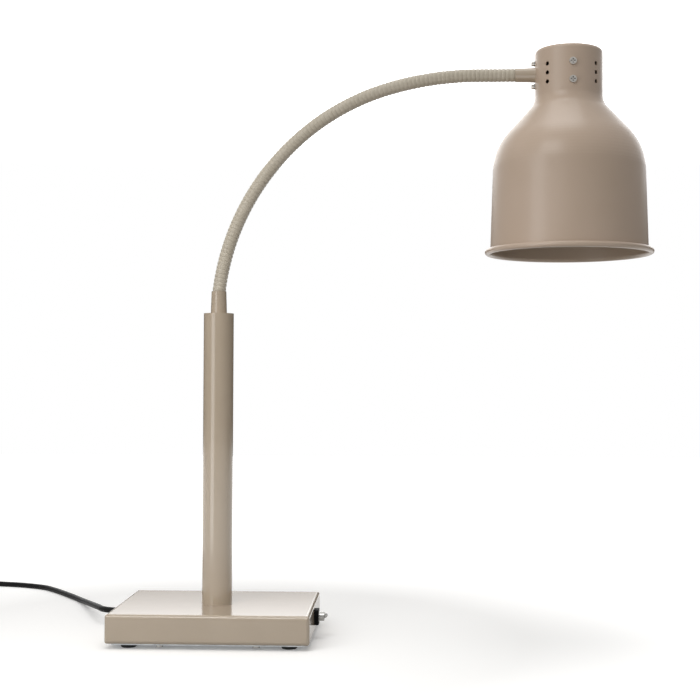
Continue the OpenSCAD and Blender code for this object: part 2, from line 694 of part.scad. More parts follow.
module base_cover() {
    open_w = base_w - 2 * fold_r;
    color(paint) difference() {
        base_block(0);
        base_block(sheet_t);
        translate([-open_w / 2, base_front + flange_w, 0])
            cube([open_w, base_d - 2 * flange_w, cover_lift + fold_r]);
        cylinder(h = base_top + past, d = stud_d + 2 * hole_gap);
        for (x = [-cover_screw_x, cover_screw_x]) for (y = cover_screw_ys)
            translate([x, y, 0])
                cylinder(h = cover_lift + sheet_t + past, d = plate_screw_d + 2 * fit_gap);
        translate([-base_w / 2 - past, gland_y, gland_z]) rotate([0, 90, 0])
            cylinder(h = sheet_t + 2 * past, d = gland_body_d + 2 * fit_gap);
        translate([wall_in - past, 0, toggle_z]) rotate([0, 90, 0])
            cylinder(h = sheet_t + 2 * past, d = bushing_d + 2 * hole_gap);
    }
}
module bottom_plate() {
    color(zinc) difference() {
        translate([0, base_back, plate_z]) linear_extrude(plate_t)
            round_rect(base_w - 2 * plate_inset, base_d - 2 * plate_inset, fold_r);
        plate_holes(plate_screw_d);
        at_feet() cylinder(h = cover_lift + past, d = foot_screw_d + 2 * fit_gap);
        at_clamp_screws() cylinder(h = cover_lift + past, d = clamp_screw_d + 2 * fit_gap);
        translate([block_x, -earth_y, 0])
            cylinder(h = cover_lift + past, d = plate_screw_d + 2 * fit_gap);
    }
}
module at_feet() {
    for (x = [-foot_x, foot_x]) for (y = foot_ys) translate([x, y, 0]) children();
}
module at_clamp_screws() {
    for (y = [-clamp_screw_off, clamp_screw_off]) translate([clamp_x, gland_y + y, 0]) children();
}
module plate_holes(d) {
    for (x = [-cover_screw_x, cover_screw_x]) for (y = cover_screw_ys)
        translate([x, y, 0]) cylinder(h = cover_lift + past, d = d + 2 * hole_gap);
    at_ballast_screws() cylinder(h = cover_lift + past, d = d + 2 * hole_gap);
}
module at_ballast_screws() {
    for (x = [-ballast_screw_x, ballast_screw_x]) for (y = [-ballast_screw_y, ballast_screw_y])
        translate([x, base_back + y, 0]) children();
}
module ballast() {
    color(zinc) difference() {
        translate([-ballast_w / 2, base_back - ballast_d / 2, ballast_z])
            cube([ballast_w, ballast_d, ballast_t]);
        translate([-ballast_w / 2 - past, -ballast_slot / 2, 0])
            cube([ballast_w / 2 + past, ballast_slot, base_top]);
        cylinder(h = base_top, d = stud_nut_af / cos(30) + 6);
        at_ballast_screws() cylinder(h = ballast_z + ballast_screw_l, d = plate_screw_d + 2 * fit_gap);
    }
}
module ballast_screws() {
    color(steel) at_ballast_screws() translate([0, 0, plate_z])
        cross_screw(plate_screw_head, plate_screw_head_h, plate_screw_d, ballast_screw_l);
}
module cover_screws() {
    color(steel) for (x = [-cover_screw_x, cover_screw_x]) for (y = cover_screw_ys)
        translate([x, y, plate_z]) cross_screw(plate_screw_head, plate_screw_head_h, plate_screw_d,
            plate_t + sheet_t + thread_end);
}
module feet() {
    foot_edge = 1;
    color(black) at_feet() difference() {
        union() {
            cylinder(h = foot_edge, d1 = foot_d - 2 * foot_edge, d2 = foot_d);
            translate([0, 0, foot_edge]) cylinder(h = plate_z - foot_edge, d = foot_d);
        }
        translate([0, 0, -past]) cylinder(h = plate_z + 2 * past, d = foot_screw_d + 2 * hole_gap);
        translate([0, 0, -past]) cylinder(h = plate_z / 2 + past, d = foot_screw_head + 2 * hole_gap);
    }
}
module foot_screws() {
    color(steel) at_feet() translate([0, 0, plate_z / 2])
        cross_screw(foot_screw_head, foot_screw_head_h, foot_screw_d, plate_z / 2 + plate_t + thread_end);
}
module stiffener() {
    color(zinc) difference() {
        translate([-stiffener_w / 2, -stiffener_w / 2, stiffener_z])
            cube([stiffener_w, stiffener_w, stiffener_t]);
        translate([0, 0, stiffener_z - past])
            cylinder(h = stiffener_t + 2 * past, d = stud_d + 2 * hole_gap);
    }
}

module cord_gland() {
    color(black) translate([-base_w / 2, gland_y, gland_z]) rotate([0, -90, 0]) difference() {
        union() {
            translate([0, 0, -sheet_t - gland_in]) cylinder(h = gland_in, d = gland_flange_d);
            translate([0, 0, -sheet_t - gland_in])
                cylinder(h = sheet_t + gland_in + gland_flange_t, d = gland_body_d);
            cylinder(h = gland_flange_t, d = gland_flange_d);
            translate([0, 0, gland_flange_t])
                cylinder(h = gland_out - gland_flange_t, d1 = gland_sleeve_d, d2 = gland_tip_d);
        }
        translate([0, 0, -sheet_t - gland_in - past])
            cylinder(h = gland_out + sheet_t + gland_in + 2 * past, d = cord_d + 2 * fit_gap);
    }
}
// The sheath ends behind the clamp and its three cores turn to the terminal block.
module cord_tail() {
    core_step = (cord_d - core_d) / 2 - fit_gap;
    core_end = block_l / 2;
    color(black) {
        translate([gland_end, gland_y, gland_z]) rotate([0, 90, 0])
            cylinder(h = sheath_end - gland_end, d = cord_d);
        for (i = [-1, 0, 1]) translate([0, 0, gland_z + i * core_step]) {
            translate([sheath_end - past, gland_y, 0]) rotate([0, 90, 0])
                cylinder(h = core_x - core_bend - sheath_end + past, d = core_d);
            translate([core_x - core_bend, gland_y - core_bend, 0])
                rotate_extrude(angle = 90) translate([core_bend, 0]) circle(d = core_d);
            translate([core_x, gland_y - core_bend, 0]) rotate([90, 0, 0])
                cylinder(h = gland_y - core_bend - core_end, d = core_d);
        }
    }
}
module cord_clamp() {
    color(ceramic) difference() {
        translate([clamp_x - clamp_l / 2, gland_y - clamp_w / 2, cover_lift])
            cube([clamp_l, clamp_w, clamp_h]);
        translate([clamp_x - clamp_l, gland_y, gland_z]) rotate([0, 90, 0])
            cylinder(h = 2 * clamp_l, d = cord_d + 2 * fit_gap);
        at_clamp_screws() cylinder(h = base_top, d = clamp_screw_d + 2 * fit_gap);
    }
}
module clamp_screws() {
    color(steel) at_clamp_screws() translate([0, 0, cover_lift + clamp_h]) rotate([180, 0, 0])
        cross_screw(clamp_screw_head, clamp_screw_head_h, clamp_screw_d, clamp_h + plate_t);
}
module terminal_block() {
    color(ceramic) difference() {
        translate([block_x - block_w / 2, -block_l / 2, cover_lift]) cube([block_w, block_l, block_h]);
        for (y = [-wire_y, 0, wire_y]) translate([block_x, y, cover_lift + block_h - block_hole_h])
            cylinder(h = block_hole_h + past, d = block_hole_d);
    }
}
module earth_lug() {
    color(brass) translate([block_x, -earth_y, cover_lift]) difference() {
        cylinder(h = earth_lug_t, d = earth_lug_d);
        translate([0, 0, -past]) cylinder(h = earth_lug_t + 2 * past, d = plate_screw_d + 2 * hole_gap);
    }
}
module earth_screw() {
    color(steel) translate([block_x, -earth_y, cover_lift + earth_lug_t]) rotate([180, 0, 0])
        cross_screw(plate_screw_head, plate_screw_head_h, plate_screw_d, earth_lug_t + plate_t + 1);
}
module switch_wires() {
    low = block_x + block_w / 2;
    color(black) for (y = [-wire_y, wire_y]) translate([low, y, wire_z]) rotate([0, 90, 0])
        cylinder(h = wall_in - switch_body_t - switch_tab_l - low, d = wire_d);
}

module switch_surround() {
    color(black) difference() {
        translate([surround_x, 0, surround_z]) rotate([90, 0, 90]) linear_extrude(surround_t)
            round_rect(surround_l, surround_h, surround_r);
        translate([surround_x - past, 0, toggle_z]) rotate([0, 90, 0])
            cylinder(h = surround_t + 2 * past, d = bushing_d + 2 * fit_gap);
        translate([bushing_x - switch_nut_t, 0, toggle_z]) rotate([0, 90, 0])
            cylinder(h = switch_nut_t + past, d = switch_nut_af / cos(30) + 2 * hole_gap);
    }
}
module switch_body() {
    color(black) translate([wall_in - switch_body_t, -switch_body_l / 2, toggle_z - switch_body_w / 2])
        cube([switch_body_t, switch_body_l, switch_body_w]);
}
module switch_terminals() {
    color(brass) for (y = [-wire_y, wire_y])
        translate([wall_in - switch_body_t - switch_tab_l, y - switch_tab_w / 2, wire_z - wire_d / 2])
            cube([switch_tab_l, switch_tab_w, switch_tab_t]);
}
module switch_bushing() {
    bore_low = pivot_x - lever_tail_l - past;
    cone_low = pivot_x + 1;
    color(steel) translate([0, 0, toggle_z]) rotate([0, 90, 0]) difference() {
        translate([0, 0, wall_in]) cylinder(h = bushing_end - wall_in, d = bushing_d);
        translate([0, 0, bore_low]) cylinder(h = bushing_end - bore_low + past, r = bushing_bore);
        translate([0, 0, cone_low])
            cylinder(h = bushing_end - cone_low, r1 = bushing_bore, r2 = bushing_d / 2 - bushing_lip);
    }
}
module switch_nut() {
    color(steel) translate([bushing_x - switch_nut_t, 0, toggle_z]) rotate([0, 90, 0])
        hex_nut(switch_nut_af, switch_nut_t, bushing_d);
}
module switch_lever() {
    color(lever_metal) translate([pivot_x, 0, toggle_z]) rotate([0, 90 - lever_tilt, 0]) {
        sphere(d = lever_ball_d);
        translate([0, 0, -lever_tail_l]) cylinder(h = lever_tail_l, d = lever_tail_d);
        cylinder(h = lever_reach, d1 = lever_root_d, d2 = lever_tip_d * 0.9);
        translate([0, 0, lever_reach]) sphere(d = lever_tip_d);
    }
}

module column_tube() {
    color(paint) translate([0, 0, base_top]) difference() {
        cylinder(h = column_h, r = column_r);
        translate([0, 0, -past]) cylinder(h = column_h + 2 * past, r = column_in_r);
    }
}
module column_foot_plug() {
    color(zinc) translate([0, 0, base_top]) difference() {
        cylinder(h = foot_plug_t, r = column_in_r);
        translate([0, 0, -past]) cylinder(h = foot_plug_t + 2 * past, d = stud_d + 2 * fit_gap);
    }
}
module column_stud() {
    color(zinc) translate([0, 0, stud_low]) difference() {
        cylinder(h = stud_high - stud_low, d = stud_d);
        translate([0, 0, -past]) cylinder(h = stud_high - stud_low + 2 * past, d = lead_d + 2);
    }
}
module column_stud_nut() {
    color(zinc) translate([0, 0, stiffener_z - stud_nut_t]) hex_nut(stud_nut_af, stud_nut_t, stud_d);
}
module column_top_plug() {
    color(paint) translate([0, 0, top_plug_z]) difference() {
        cylinder(h = top_plug_t, r = column_in_r);
        translate([0, 0, -past]) cylinder(h = top_plug_t + 2 * past, d = stem_d + 2 * fit_gap);
    }
}
module column_lead() {
    low = block_x + block_w / 2;
    color(black) {
        translate([low, 0, lead_z]) rotate([0, 90, 0]) cylinder(h = -lead_bend - low, d = lead_d);
        translate([-lead_bend, 0, lead_z + lead_bend]) rotate([90, 0, 0]) rotate([0, 0, -90])
            rotate_extrude(angle = 90) translate([lead_bend, 0]) circle(d = lead_d);
        translate([0, 0, lead_z + lead_bend]) cylinder(h = neck_z - lead_z - lead_bend, d = lead_d);
    }
}

module lower_ferrule() {
    color(paint) difference() {
        union() {
            translate([0, 0, column_top])
                cylinder(h = ferrule_h, d1 = ferrule_foot_d, d2 = ferrule_mouth_d);
            translate([0, 0, ferrule_stem_low])
                cylinder(h = column_top - ferrule_stem_low + past, d = stem_d);
        }
        translate([0, 0, neck_z]) cylinder(h = ferrule_h, d = neck_end_d + 2 * fit_gap);
        translate([0, 0, neck_z + neck_end_l]) cylinder(h = ferrule_h, d = neck_end_d + 2 * mouth_gap);
        translate([0, 0, ferrule_stem_low - past]) cylinder(h = ferrule_h + column_top, d = stem_bore_d);
    }
}
module lower_ferrule_nut() {
    color(zinc) translate([0, 0, top_plug_z - stem_nut_t]) hex_nut(stem_nut_af, stem_nut_t, stem_d);
}

module neck_root() {
    color(paint) neck(0, flex_low, head = [[0, neck_end_d / 2], [neck_end_l, neck_end_d / 2]]);
}
module neck_flex_low() {
    color(paint) neck(flex_low, flex_low + flex_ribs);
}
module neck_lower() {
    color(paint) neck(flex_low + flex_ribs, flex_side);
}
module neck_flex_side() {
    color(paint) neck(flex_side, flex_side + flex_ribs);
}
module neck_middle() {
    color(paint) neck(flex_side + flex_ribs, flex_mid);
}
module neck_flex_mid() {
    color(paint) neck(flex_mid, flex_mid + flex_ribs);
}
module neck_upper() {
    color(paint) neck(flex_mid + flex_ribs, flex_top);
}
module neck_flex_top() {
    color(paint) neck(flex_top, flex_top + flex_ribs);
}
module neck_end() {
    color(paint) neck(flex_top + flex_ribs, ribs,
        tail = [[neck_len - neck_end_l, neck_end_d / 2], [neck_len, neck_end_d / 2]]);
}

module along_arm() {
    translate([collar_x, 0, arm_z]) rotate([0, 90, 0]) children();
}
module at_shade() {
    translate([shade_x, 0, 0]) children();
}
module upper_ferrule() {
    stem_end = collar_l + shade_neck_r - saddle_x + stem_nut_t + 1;
    color(paint) difference() {
        union() {
            difference() {
                along_arm() cylinder(h = collar_l + 3, d1 = collar_mouth_d, d2 = collar_foot_d);
                at_shade() translate([0, 0, throat_z]) cylinder(h = shade_neck_h, r = shade_neck_r);
            }
            along_arm() translate([0, 0, neck_end_l]) cylinder(h = stem_end - neck_end_l, d = stem_d);
        }
        along_arm() translate([0, 0, -past])
            cylinder(h = neck_end_l + past, d = neck_end_d + 2 * fit_gap);
        along_arm() cylinder(h = stem_end + past, d = stem_bore_d);
    }
}
module upper_ferrule_nut() {
    color(zinc) along_arm() translate([0, 0, collar_l + shade_neck_r - saddle_x])
        hex_nut(stem_nut_af, stem_nut_t, stem_d);
}

module shade() {
    color(paint) at_shade() difference() {
        union() {
            rotate_extrude() polygon(concat(shade_line(0), flip(shade_line(shade_t))));
            rotate_extrude() translate([bead_r, bead_z]) circle(d = bead_d, $fn = 32);
        }
        for (a = [45:90:315]) for (i = [0:vent_count - 1])
            rotate([0, 0, a - 180]) translate([0, 0, vent_z + (i - (vent_count - 1) / 2) * vent_step])
                neck_hole(vent_d);
        for (z = front_screw_zs) rotate([0, 0, 90]) translate([0, 0, z])
            neck_hole(front_screw_d + 2 * hole_gap);
        for (z = side_screw_zs) translate([0, 0, z]) neck_hole(side_screw_d + 2 * hole_gap);
        translate([0, 0, arm_z]) neck_hole(stem_d + 2 * hole_gap);
    }
}
// A cut through the neck's wall on the side of the arm
module neck_hole(d) {
    translate([-shade_neck_r - past, 0, 0]) rotate([0, 90, 0]) cylinder(h = shade_neck_r / 2, d = d);
}
module arm_saddle() {
    color(zinc) at_shade() difference() {
        intersection() {
            translate([0, 0, arm_z - saddle_h / 2]) cylinder(h = saddle_h, r = shade_in_r - fit_gap);
            translate([-shade_neck_r, -saddle_w / 2, arm_z - saddle_h / 2])
                cube([shade_neck_r - saddle_x, saddle_w, saddle_h]);
        }
        translate([-shade_neck_r, 0, arm_z]) rotate([0, 90, 0])
            cylinder(h = shade_neck_r, d = stem_d + 2 * fit_gap);
        for (z = side_screw_zs) translate([-shade_neck_r, 0, z]) rotate([0, 90, 0])
            cylinder(h = shade_neck_r, d = side_screw_d + 2 * fit_gap);
    }
}
module side_screws() {
    key_r = side_screw_head / 4;
    color(steel) at_shade() for (z = side_screw_zs)
        translate([-shade_neck_r - side_washer_t, 0, z]) rotate([0, 90, 0]) difference() {
            screw(side_screw_head, side_screw_head_h, side_screw_d, side_washer_t + shade_t + saddle_t);
            translate([0, 0, -side_screw_head_h - past])
                cylinder(h = side_screw_head_h / 2 + past, r = key_r, $fn = 6);
        }
}
module side_washers() {
    color(steel) at_shade() difference() {
        for (z = side_screw_zs) translate([-shade_neck_r - side_washer_t, 0, z]) rotate([0, 90, 0])
            cylinder(h = side_washer_t + past, d = side_screw_head + 1);
        for (z = side_screw_zs) translate([-past, 0, z]) neck_hole(side_screw_d + 2 * hole_gap);
        translate([0, 0, throat_z]) cylinder(h = shade_neck_h, r = shade_neck_r + fit_gap / 2);
    }
}
module holder_bracket() {
    low = front_screw_zs[0] - front_screw_head;
    tab_w = 2 * holder_screw_x + 10;
    color(zinc) at_shade() difference() {
        union() {
            intersection() {
                translate([0, 0, low])
                    cylinder(h = holder_top + bracket_t - low, r = shade_in_r - fit_gap);
                translate([-bracket_w / 2, -shade_neck_r, low])
                    cube([bracket_w, shade_neck_r - bracket_y, holder_top + bracket_t - low]);
            }
            translate([-bracket_w / 2, -bracket_y - bracket_t / 4, holder_top])
                cube([bracket_w, bracket_y + bracket_reach, bracket_t]);
            translate([-tab_w / 2, -bracket_w / 2, holder_top]) cube([tab_w, bracket_w, bracket_t]);
        }
        for (z = front_screw_zs) translate([0, -shade_neck_r, z]) rotate([-90, 0, 0])
            cylinder(h = 10, d = front_screw_d + 2 * fit_gap);
        for (x = [-holder_screw_x, holder_screw_x])
            translate([x, 0, holder_top - past])
                cylinder(h = bracket_t + 2 * past, d = front_screw_d + 2 * hole_gap);
    }
}
module front_screws() {
    color(steel) at_shade() for (z = front_screw_zs) translate([0, -shade_neck_r, z]) rotate([-90, 0, 0])
        cross_screw(front_screw_head, front_screw_head_h, front_screw_d,
            shade_neck_r - bracket_y + front_nut_t + 1);
}
module front_nuts() {
    color(zinc) at_shade() for (z = front_screw_zs) translate([0, -bracket_y, z]) rotate([-90, 0, 0])
        hex_nut(front_nut_af, front_nut_t, front_screw_d);
}
module lampholder() {
    r = holder_d / 2;
    screw_h = holder_h - holder_bore_h - 9;
    color(ceramic) at_shade() difference() {
        rotate_extrude() polygon([[0, holder_low], [r, holder_low], [r, holder_top - 2 * holder_bevel],
            [r - holder_bevel, holder_top], [0, holder_top]]);
        translate([0, 0, holder_low - past]) cylinder(h = holder_bore_h + past, d = holder_bore_d);
        translate([-holder_d, 0, arm_z]) rotate([0, 90, 0])
            cylinder(h = holder_d - lead_stop, d = lead_d + 2 * fit_gap);
        for (x = [-holder_screw_x, holder_screw_x]) translate([x, 0, holder_top - screw_h])
            cylinder(h = screw_h + past, d = front_screw_d + 2 * fit_gap);
    }
}
module holder_screws() {
    color(steel) at_shade() for (x = [-holder_screw_x, holder_screw_x])
        translate([x, 0, holder_top + bracket_t]) rotate([180, 0, 0])
            cross_screw(front_screw_head - 1, front_screw_head_h, front_screw_d, bracket_t + 7);
}
module holder_shell() {
    shell_d = holder_bore_d - 2 * fit_gap;
    color(brass) at_shade() translate([0, 0, bore_top - shell_l]) difference() {
        cylinder(h = shell_l, d = shell_d);
        translate([0, 0, -past]) cylinder(h = shell_l + 2 * past, d = shell_d - 2 * shell_t);
    }
}
module holder_contact() {
    color(brass) at_shade() translate([0, 0, bulb_top]) cylinder(h = contact_t, d = contact_d);
}
module head_lead() {
    color(black) along_arm() translate([0, 0, neck_end_l])
        cylinder(h = collar_l + shade_neck_r - lead_stop - 1 - neck_end_l, d = lead_d);
}
module bulb_cap() {
    skirt_t = 3;
    tip_r = contact_d / 2;
    color(brass) at_shade() rotate_extrude() polygon([[0, glass_top], [bulb_neck_d / 2, glass_top],
        [bulb_neck_d / 2, glass_top + skirt_t - 1], [cap_d / 2, glass_top + skirt_t],
        [cap_d / 2, bulb_top - 3.5], [tip_r, bulb_top - 1], [tip_r, bulb_top], [0, bulb_top]]);
}
module bulb_glass() {
    color(glass) at_shade() rotate_extrude() polygon(concat(bulb_line(0), flip(bulb_line(glass_t))));
}

module cord() {
    color(black) tube(cord_pts, cord_d, 10, [-1, 0, 0], [-1, 0, 0]);
}
module cord_coil() {
    color(black) tube(coil_pts, cord_d, 6, [-1, 0, 0], [0, -1, 0]);
}
module cord_end() {
    color(black) tube(end_pts, cord_d, 10, [0, -1, 0], [0, -1, 0]);
}
module coil_tie() {
    inner_w = coil_step * layer_turns + cord_d + 4 * tie_gap;
    inner_h = 3 * coil_step + cord_d + 2 * tie_gap;
    mid_r = coil_r - coil_step * layer_turns / 2;
    color(black) translate([coil_x, coil_y - mid_r, tie_t + inner_h / 2]) rotate([90, 0, 90])
        translate([0, 0, -tie_w / 2]) linear_extrude(tie_w) difference() {
            round_rect(inner_w + 2 * tie_t, inner_h + 2 * tie_t, tie_r);
            round_rect(inner_w, inner_h, tie_r - tie_t);
        }
}
module plug() {
    nose_l = 10;
    front = plug_relief_l + plug_body_l;
    translate([coil_last[0], plug_y, plug_z]) rotate([90, 0, 0]) {
        color(black) {
            cylinder(h = plug_relief_l, d1 = cord_d + 2.4, d2 = cord_d + 6);
            translate([0, 0, plug_relief_l]) cylinder(h = nose_l, d1 = cord_d + 12, d2 = plug_d);
            translate([0, 0, plug_relief_l + nose_l]) cylinder(h = plug_body_l - nose_l, d = plug_d);
        }
        color(steel) for (x = [-pin_gap / 2, pin_gap / 2]) translate([x, 0, front]) {
            cylinder(h = pin_l - pin_d / 2, d = pin_d);
            translate([0, 0, pin_l - pin_d / 2]) sphere(d = pin_d);
        }
    }
}

base_cover();
bottom_plate();
ballast();
ballast_screws();
cover_screws();
feet();
foot_screws();
stiffener();
cord_gland();
cord_tail();
cord_clamp();
clamp_screws();
terminal_block();
earth_lug();
earth_screw();
switch_wires();
switch_surround();
switch_body();
switch_terminals();
switch_bushing();
switch_nut();
switch_lever();
column_tube();
column_foot_plug();
column_stud();
column_stud_nut();
column_top_plug();
column_lead();
lower_ferrule();
lower_ferrule_nut();
neck_root();
neck_flex_low();
neck_lower();
neck_flex_side();
neck_middle();
neck_flex_mid();
neck_upper();
neck_flex_top();
neck_end();
upper_ferrule();
upper_ferrule_nut();
shade();
arm_saddle();
side_screws();
side_washers();
holder_bracket();
front_screws();
front_nuts();
lampholder();
holder_screws();
holder_shell();
holder_contact();
head_lead();
bulb_cap();
bulb_glass();
cord();
cord_coil();
cord_end();
coil_tie();
plug();
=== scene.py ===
# Food warming lamp: finishes, fine pieces, cord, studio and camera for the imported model.
from math import sin, cos, pi, radians
import bpy
import bmesh
from mathutils import Matrix, Vector


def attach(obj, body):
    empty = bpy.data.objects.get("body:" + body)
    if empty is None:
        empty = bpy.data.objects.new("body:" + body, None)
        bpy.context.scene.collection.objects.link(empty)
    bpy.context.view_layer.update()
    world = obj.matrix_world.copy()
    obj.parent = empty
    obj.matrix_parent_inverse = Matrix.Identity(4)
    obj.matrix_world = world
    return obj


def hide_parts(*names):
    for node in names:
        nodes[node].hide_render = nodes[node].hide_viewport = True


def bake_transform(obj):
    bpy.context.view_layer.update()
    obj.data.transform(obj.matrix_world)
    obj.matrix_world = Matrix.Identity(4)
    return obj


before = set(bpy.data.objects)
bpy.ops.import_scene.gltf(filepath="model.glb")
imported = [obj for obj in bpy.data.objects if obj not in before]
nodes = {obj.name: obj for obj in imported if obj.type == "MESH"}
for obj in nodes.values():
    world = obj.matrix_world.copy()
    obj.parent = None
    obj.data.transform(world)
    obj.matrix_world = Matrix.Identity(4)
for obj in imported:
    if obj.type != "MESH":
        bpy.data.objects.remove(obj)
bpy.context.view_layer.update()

mm = 0.001
scene = bpy.context.scene


# camera: 1.5 m in front of the lamp, 0.28 m above the table, right of the column
cameraSetup = {
    "place": (0.20940, -1.52200, 0.28018),
    "yaw": -0.03988,
    "pitch": 0.02819,
    "roll": 0.0038,
    "lensMm": 69.57,
    "sensorMm": 36.0,
    "clip": (0.05, 30),
}


def placeCamera(setup):
    yaw, pitch, roll = setup["yaw"], setup["pitch"], setup["roll"]
    forward = Vector((sin(yaw) * cos(pitch), cos(yaw) * cos(pitch), sin(pitch)))
    right = Vector((cos(yaw), -sin(yaw), 0))
    up = right.cross(forward)
    levelRight = right * cos(roll) + up * sin(roll)
    levelUp = up * cos(roll) - right * sin(roll)
    data = bpy.data.cameras.new("studioCamera")
    data.lens = setup["lensMm"]
    data.sensor_width = setup["sensorMm"]
    data.clip_start, data.clip_end = setup["clip"]
    camera = bpy.data.objects.new("studioCamera", data)
    turn = Matrix((levelRight, levelUp, -forward)).transposed().to_4x4()
    camera.matrix_world = Matrix.Translation(setup["place"]) @ turn
    scene.collection.objects.link(camera)
    scene.camera = camera


placeCamera(cameraSetup)
print("camera placed")


# mesh helpers
def makeObject(name, data):
    piece = bpy.data.objects.new(name, data)
    scene.collection.objects.link(piece)
    return piece


def ringMesh(name, rings, loop=False):
    # rings of equally many points, joined into a skin; loop joins the last ring to the first,
    # and without it both ends are closed
    mesh = bmesh.new()
    sides = len(rings[0])
    verts = [[mesh.verts.new(point) for point in ring] for ring in rings]
    pairs = list(zip(verts, verts[1:])) + ([(verts[-1], verts[0])] if loop else [])
    for low, high in pairs:
        for i in range(sides):
            j = (i + 1) % sides
            mesh.faces.new((low[i], low[j], high[j], high[i]))
    if not loop:
        mesh.faces.new(reversed(verts[0]))
        mesh.faces.new(verts[-1])
    bmesh.ops.recalc_face_normals(mesh, faces=mesh.faces)
    data = bpy.data.meshes.new(name)
    mesh.to_mesh(data)
    mesh.free()
    for face in data.polygons:
        face.use_smooth = True
    return makeObject(name, data)


def turnedMesh(name, profile, place, axis, sides, radiusAt=None, loop=False):
    # a turned piece: profile holds (distance along the axis, radius) in mm
    axis = Vector(axis).normalized()
    side = axis.orthogonal().normalized()
    other = axis.cross(side)
    rings = []
    for along, radius in profile:
        ring = []
        for k in range(sides):
            angle = 2 * pi * k / sides
            r = radiusAt(along, radius, angle) if radiusAt else radius
            offset = axis * along + side * (r * cos(angle)) + other * (r * sin(angle))
            ring.append(Vector(place) + offset * mm)
        rings.append(ring)
    return ringMesh(name, rings, loop=loop)


def sharpen(piece, degrees):
    # keeps true edges crisp between smooth faces
    limit = radians(degrees)
    mesh = bmesh.new()
    mesh.from_mesh(piece.data)
    for edge in mesh.edges:
        if len(edge.link_faces) == 2 and edge.calc_face_angle(0) > limit:
            edge.smooth = False
    mesh.to_mesh(piece.data)
    mesh.free()


# cord: a 7 mm round mains cord that leaves the left wall, runs back and left and is wound up
cordSetup = {
    "diameter": 7,
    "exit": (-123, 70, 17),
    "coilAxis": (-412, 320),
    "coilRadius": 44,
    "coilStep": 7.8,        # from turn to turn, sideways and up
    "coilLayers": 4,
    "layerTurns": 1.25,
    "climbTurns": 0.5,      # spent on the way up to the next layer
    "leadOutTurns": 0.25,
    "turnPoints": 24,
    "coilFloor": 4.6,
    "plugY": 258,
    "plugZ": 18.5,
    "smoothSteps": 3,
    "roundness": 6,
}
cordRoute = [(-123, 70, 17), (-125, 70, 17), (-132.2, 71, 17), (-139, 73.8, 17),
    (-144.8, 78.2, 16.9), (-149.2, 84, 16.7), (-150.8, 87.1, 16.6), (-154.7, 95.7, 16.2),
    (-159.1, 105.8, 15.4), (-163.7, 116.5, 14.4), (-168.8, 129.5, 13.2), (-174.1, 142.9, 11.8),
    (-179.6, 157.3, 10.4), (-185.2, 171.7, 8.9), (-190.7, 185.7, 7.5), (-196.2, 199.4, 6.2),
    (-201.4, 211.6, 5.1), (-206.5, 222.8, 4.3), (-214.5, 238.5, 3.5), (-222.3, 251, 3.5),
    (-229.8, 262.4, 3.5), (-237.3, 273.6, 3.5), (-244.8, 284.6, 3.5), (-252.2, 295.2, 3.5),
    (-259.6, 305.4, 3.5), (-266.9, 315, 3.5), (-274.1, 323.9, 3.5), (-281.1, 332, 3.5),
    (-293, 341, 3.5), (-308, 349.5, 3.5), (-324, 356.8, 3.5), (-342, 361.8, 3.5), (-360, 364, 4),
    (-380, 364, 4.6), (-398, 364, 4.6)]


def coilPoints(setup):
    # layers wound inward, then outward, and so on, then the last run to the plug
    layers, layer = setup["coilLayers"], setup["layerTurns"]
    wound = layers * layer
    turns = wound + setup["leadOutTurns"]
    count = round(turns * setup["turnPoints"])
    cx, cy = setup["coilAxis"]
    points = [(cx + setup["diameter"], cy + setup["coilRadius"], setup["coilFloor"])]
    for i in range(count + 1):
        t = turns * i / count
        whole = int(t // layer)
        inward = t - layer * whole if whole % 2 == 0 else layer - (t - layer * whole)
        if t >= wound:
            radius = setup["coilRadius"] + setup["coilStep"] * (t - wound)
        else:
            radius = setup["coilRadius"] - setup["coilStep"] * inward
        climb = 0
        for k in range(1, layers):
            u = min(max((t - k * layer) / setup["climbTurns"] + 0.5, 0), 1)
            climb += (1 - cos(pi * u)) / 2
        angle = pi / 2 + 2 * pi * t
        points.append((cx + radius * cos(angle), cy + radius * sin(angle),
                       setup["coilFloor"] + setup["coilStep"] * climb))
    x, y, top = points[-1]
    points.append((x, y - setup["diameter"], top))
    plugZ = setup["plugZ"]
    lastRun = ((46, top - 0.5), (36, top - 2.5), (26, plugZ + 4), (17, plugZ + 1.5), (8, plugZ), (0, plugZ))
    return points + [(x, setup["plugY"] + behind, z) for behind, z in lastRun]


def smoothPath(points, steps):
    # passes through every point with no corner
    full = [points[0]] + list(points) + [points[-1]]
    path = []
    for a, b, c, d in zip(full, full[1:], full[2:], full[3:]):
        for k in range(steps):
            t = k / steps
            path.append(0.5 * (2 * b + (c - a) * t + (2 * a - 5 * b + 4 * c - d) * t * t
                               + (3 * b - a - 3 * c + d) * t ** 3))
    return path + [points[-1]]


coilStretch = coilPoints(cordSetup)
cordPath = smoothPath([Vector(p) * mm for p in cordRoute + coilStretch], cordSetup["smoothSteps"])
for place in cordPath:
    place.z = max(place.z, cordSetup["diameter"] / 2 * mm)  # the sheath lies on the floor, not in it
cordCurve = bpy.data.curves.new("mainsCord", "CURVE")
cordCurve.dimensions = "3D"
cordCurve.bevel_depth = 1  # times each point's own radius
cordCurve.bevel_resolution = cordSetup["roundness"]
cordCurve.use_fill_caps = True
strand = cordCurve.splines.new("POLY")
strand.points.add(len(cordPath) - 1)
for point, place in zip(strand.points, cordPath):
    point.co = (*place, 1)
    point.radius = cordSetup["diameter"] / 2 * mm
strand.use_smooth = True
mainsCord = makeObject("mainsCord", cordCurve)
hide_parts("cord", "cord_coil", "cord_end")
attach(mainsCord, "base")
plugX = coilStretch[-1][0]


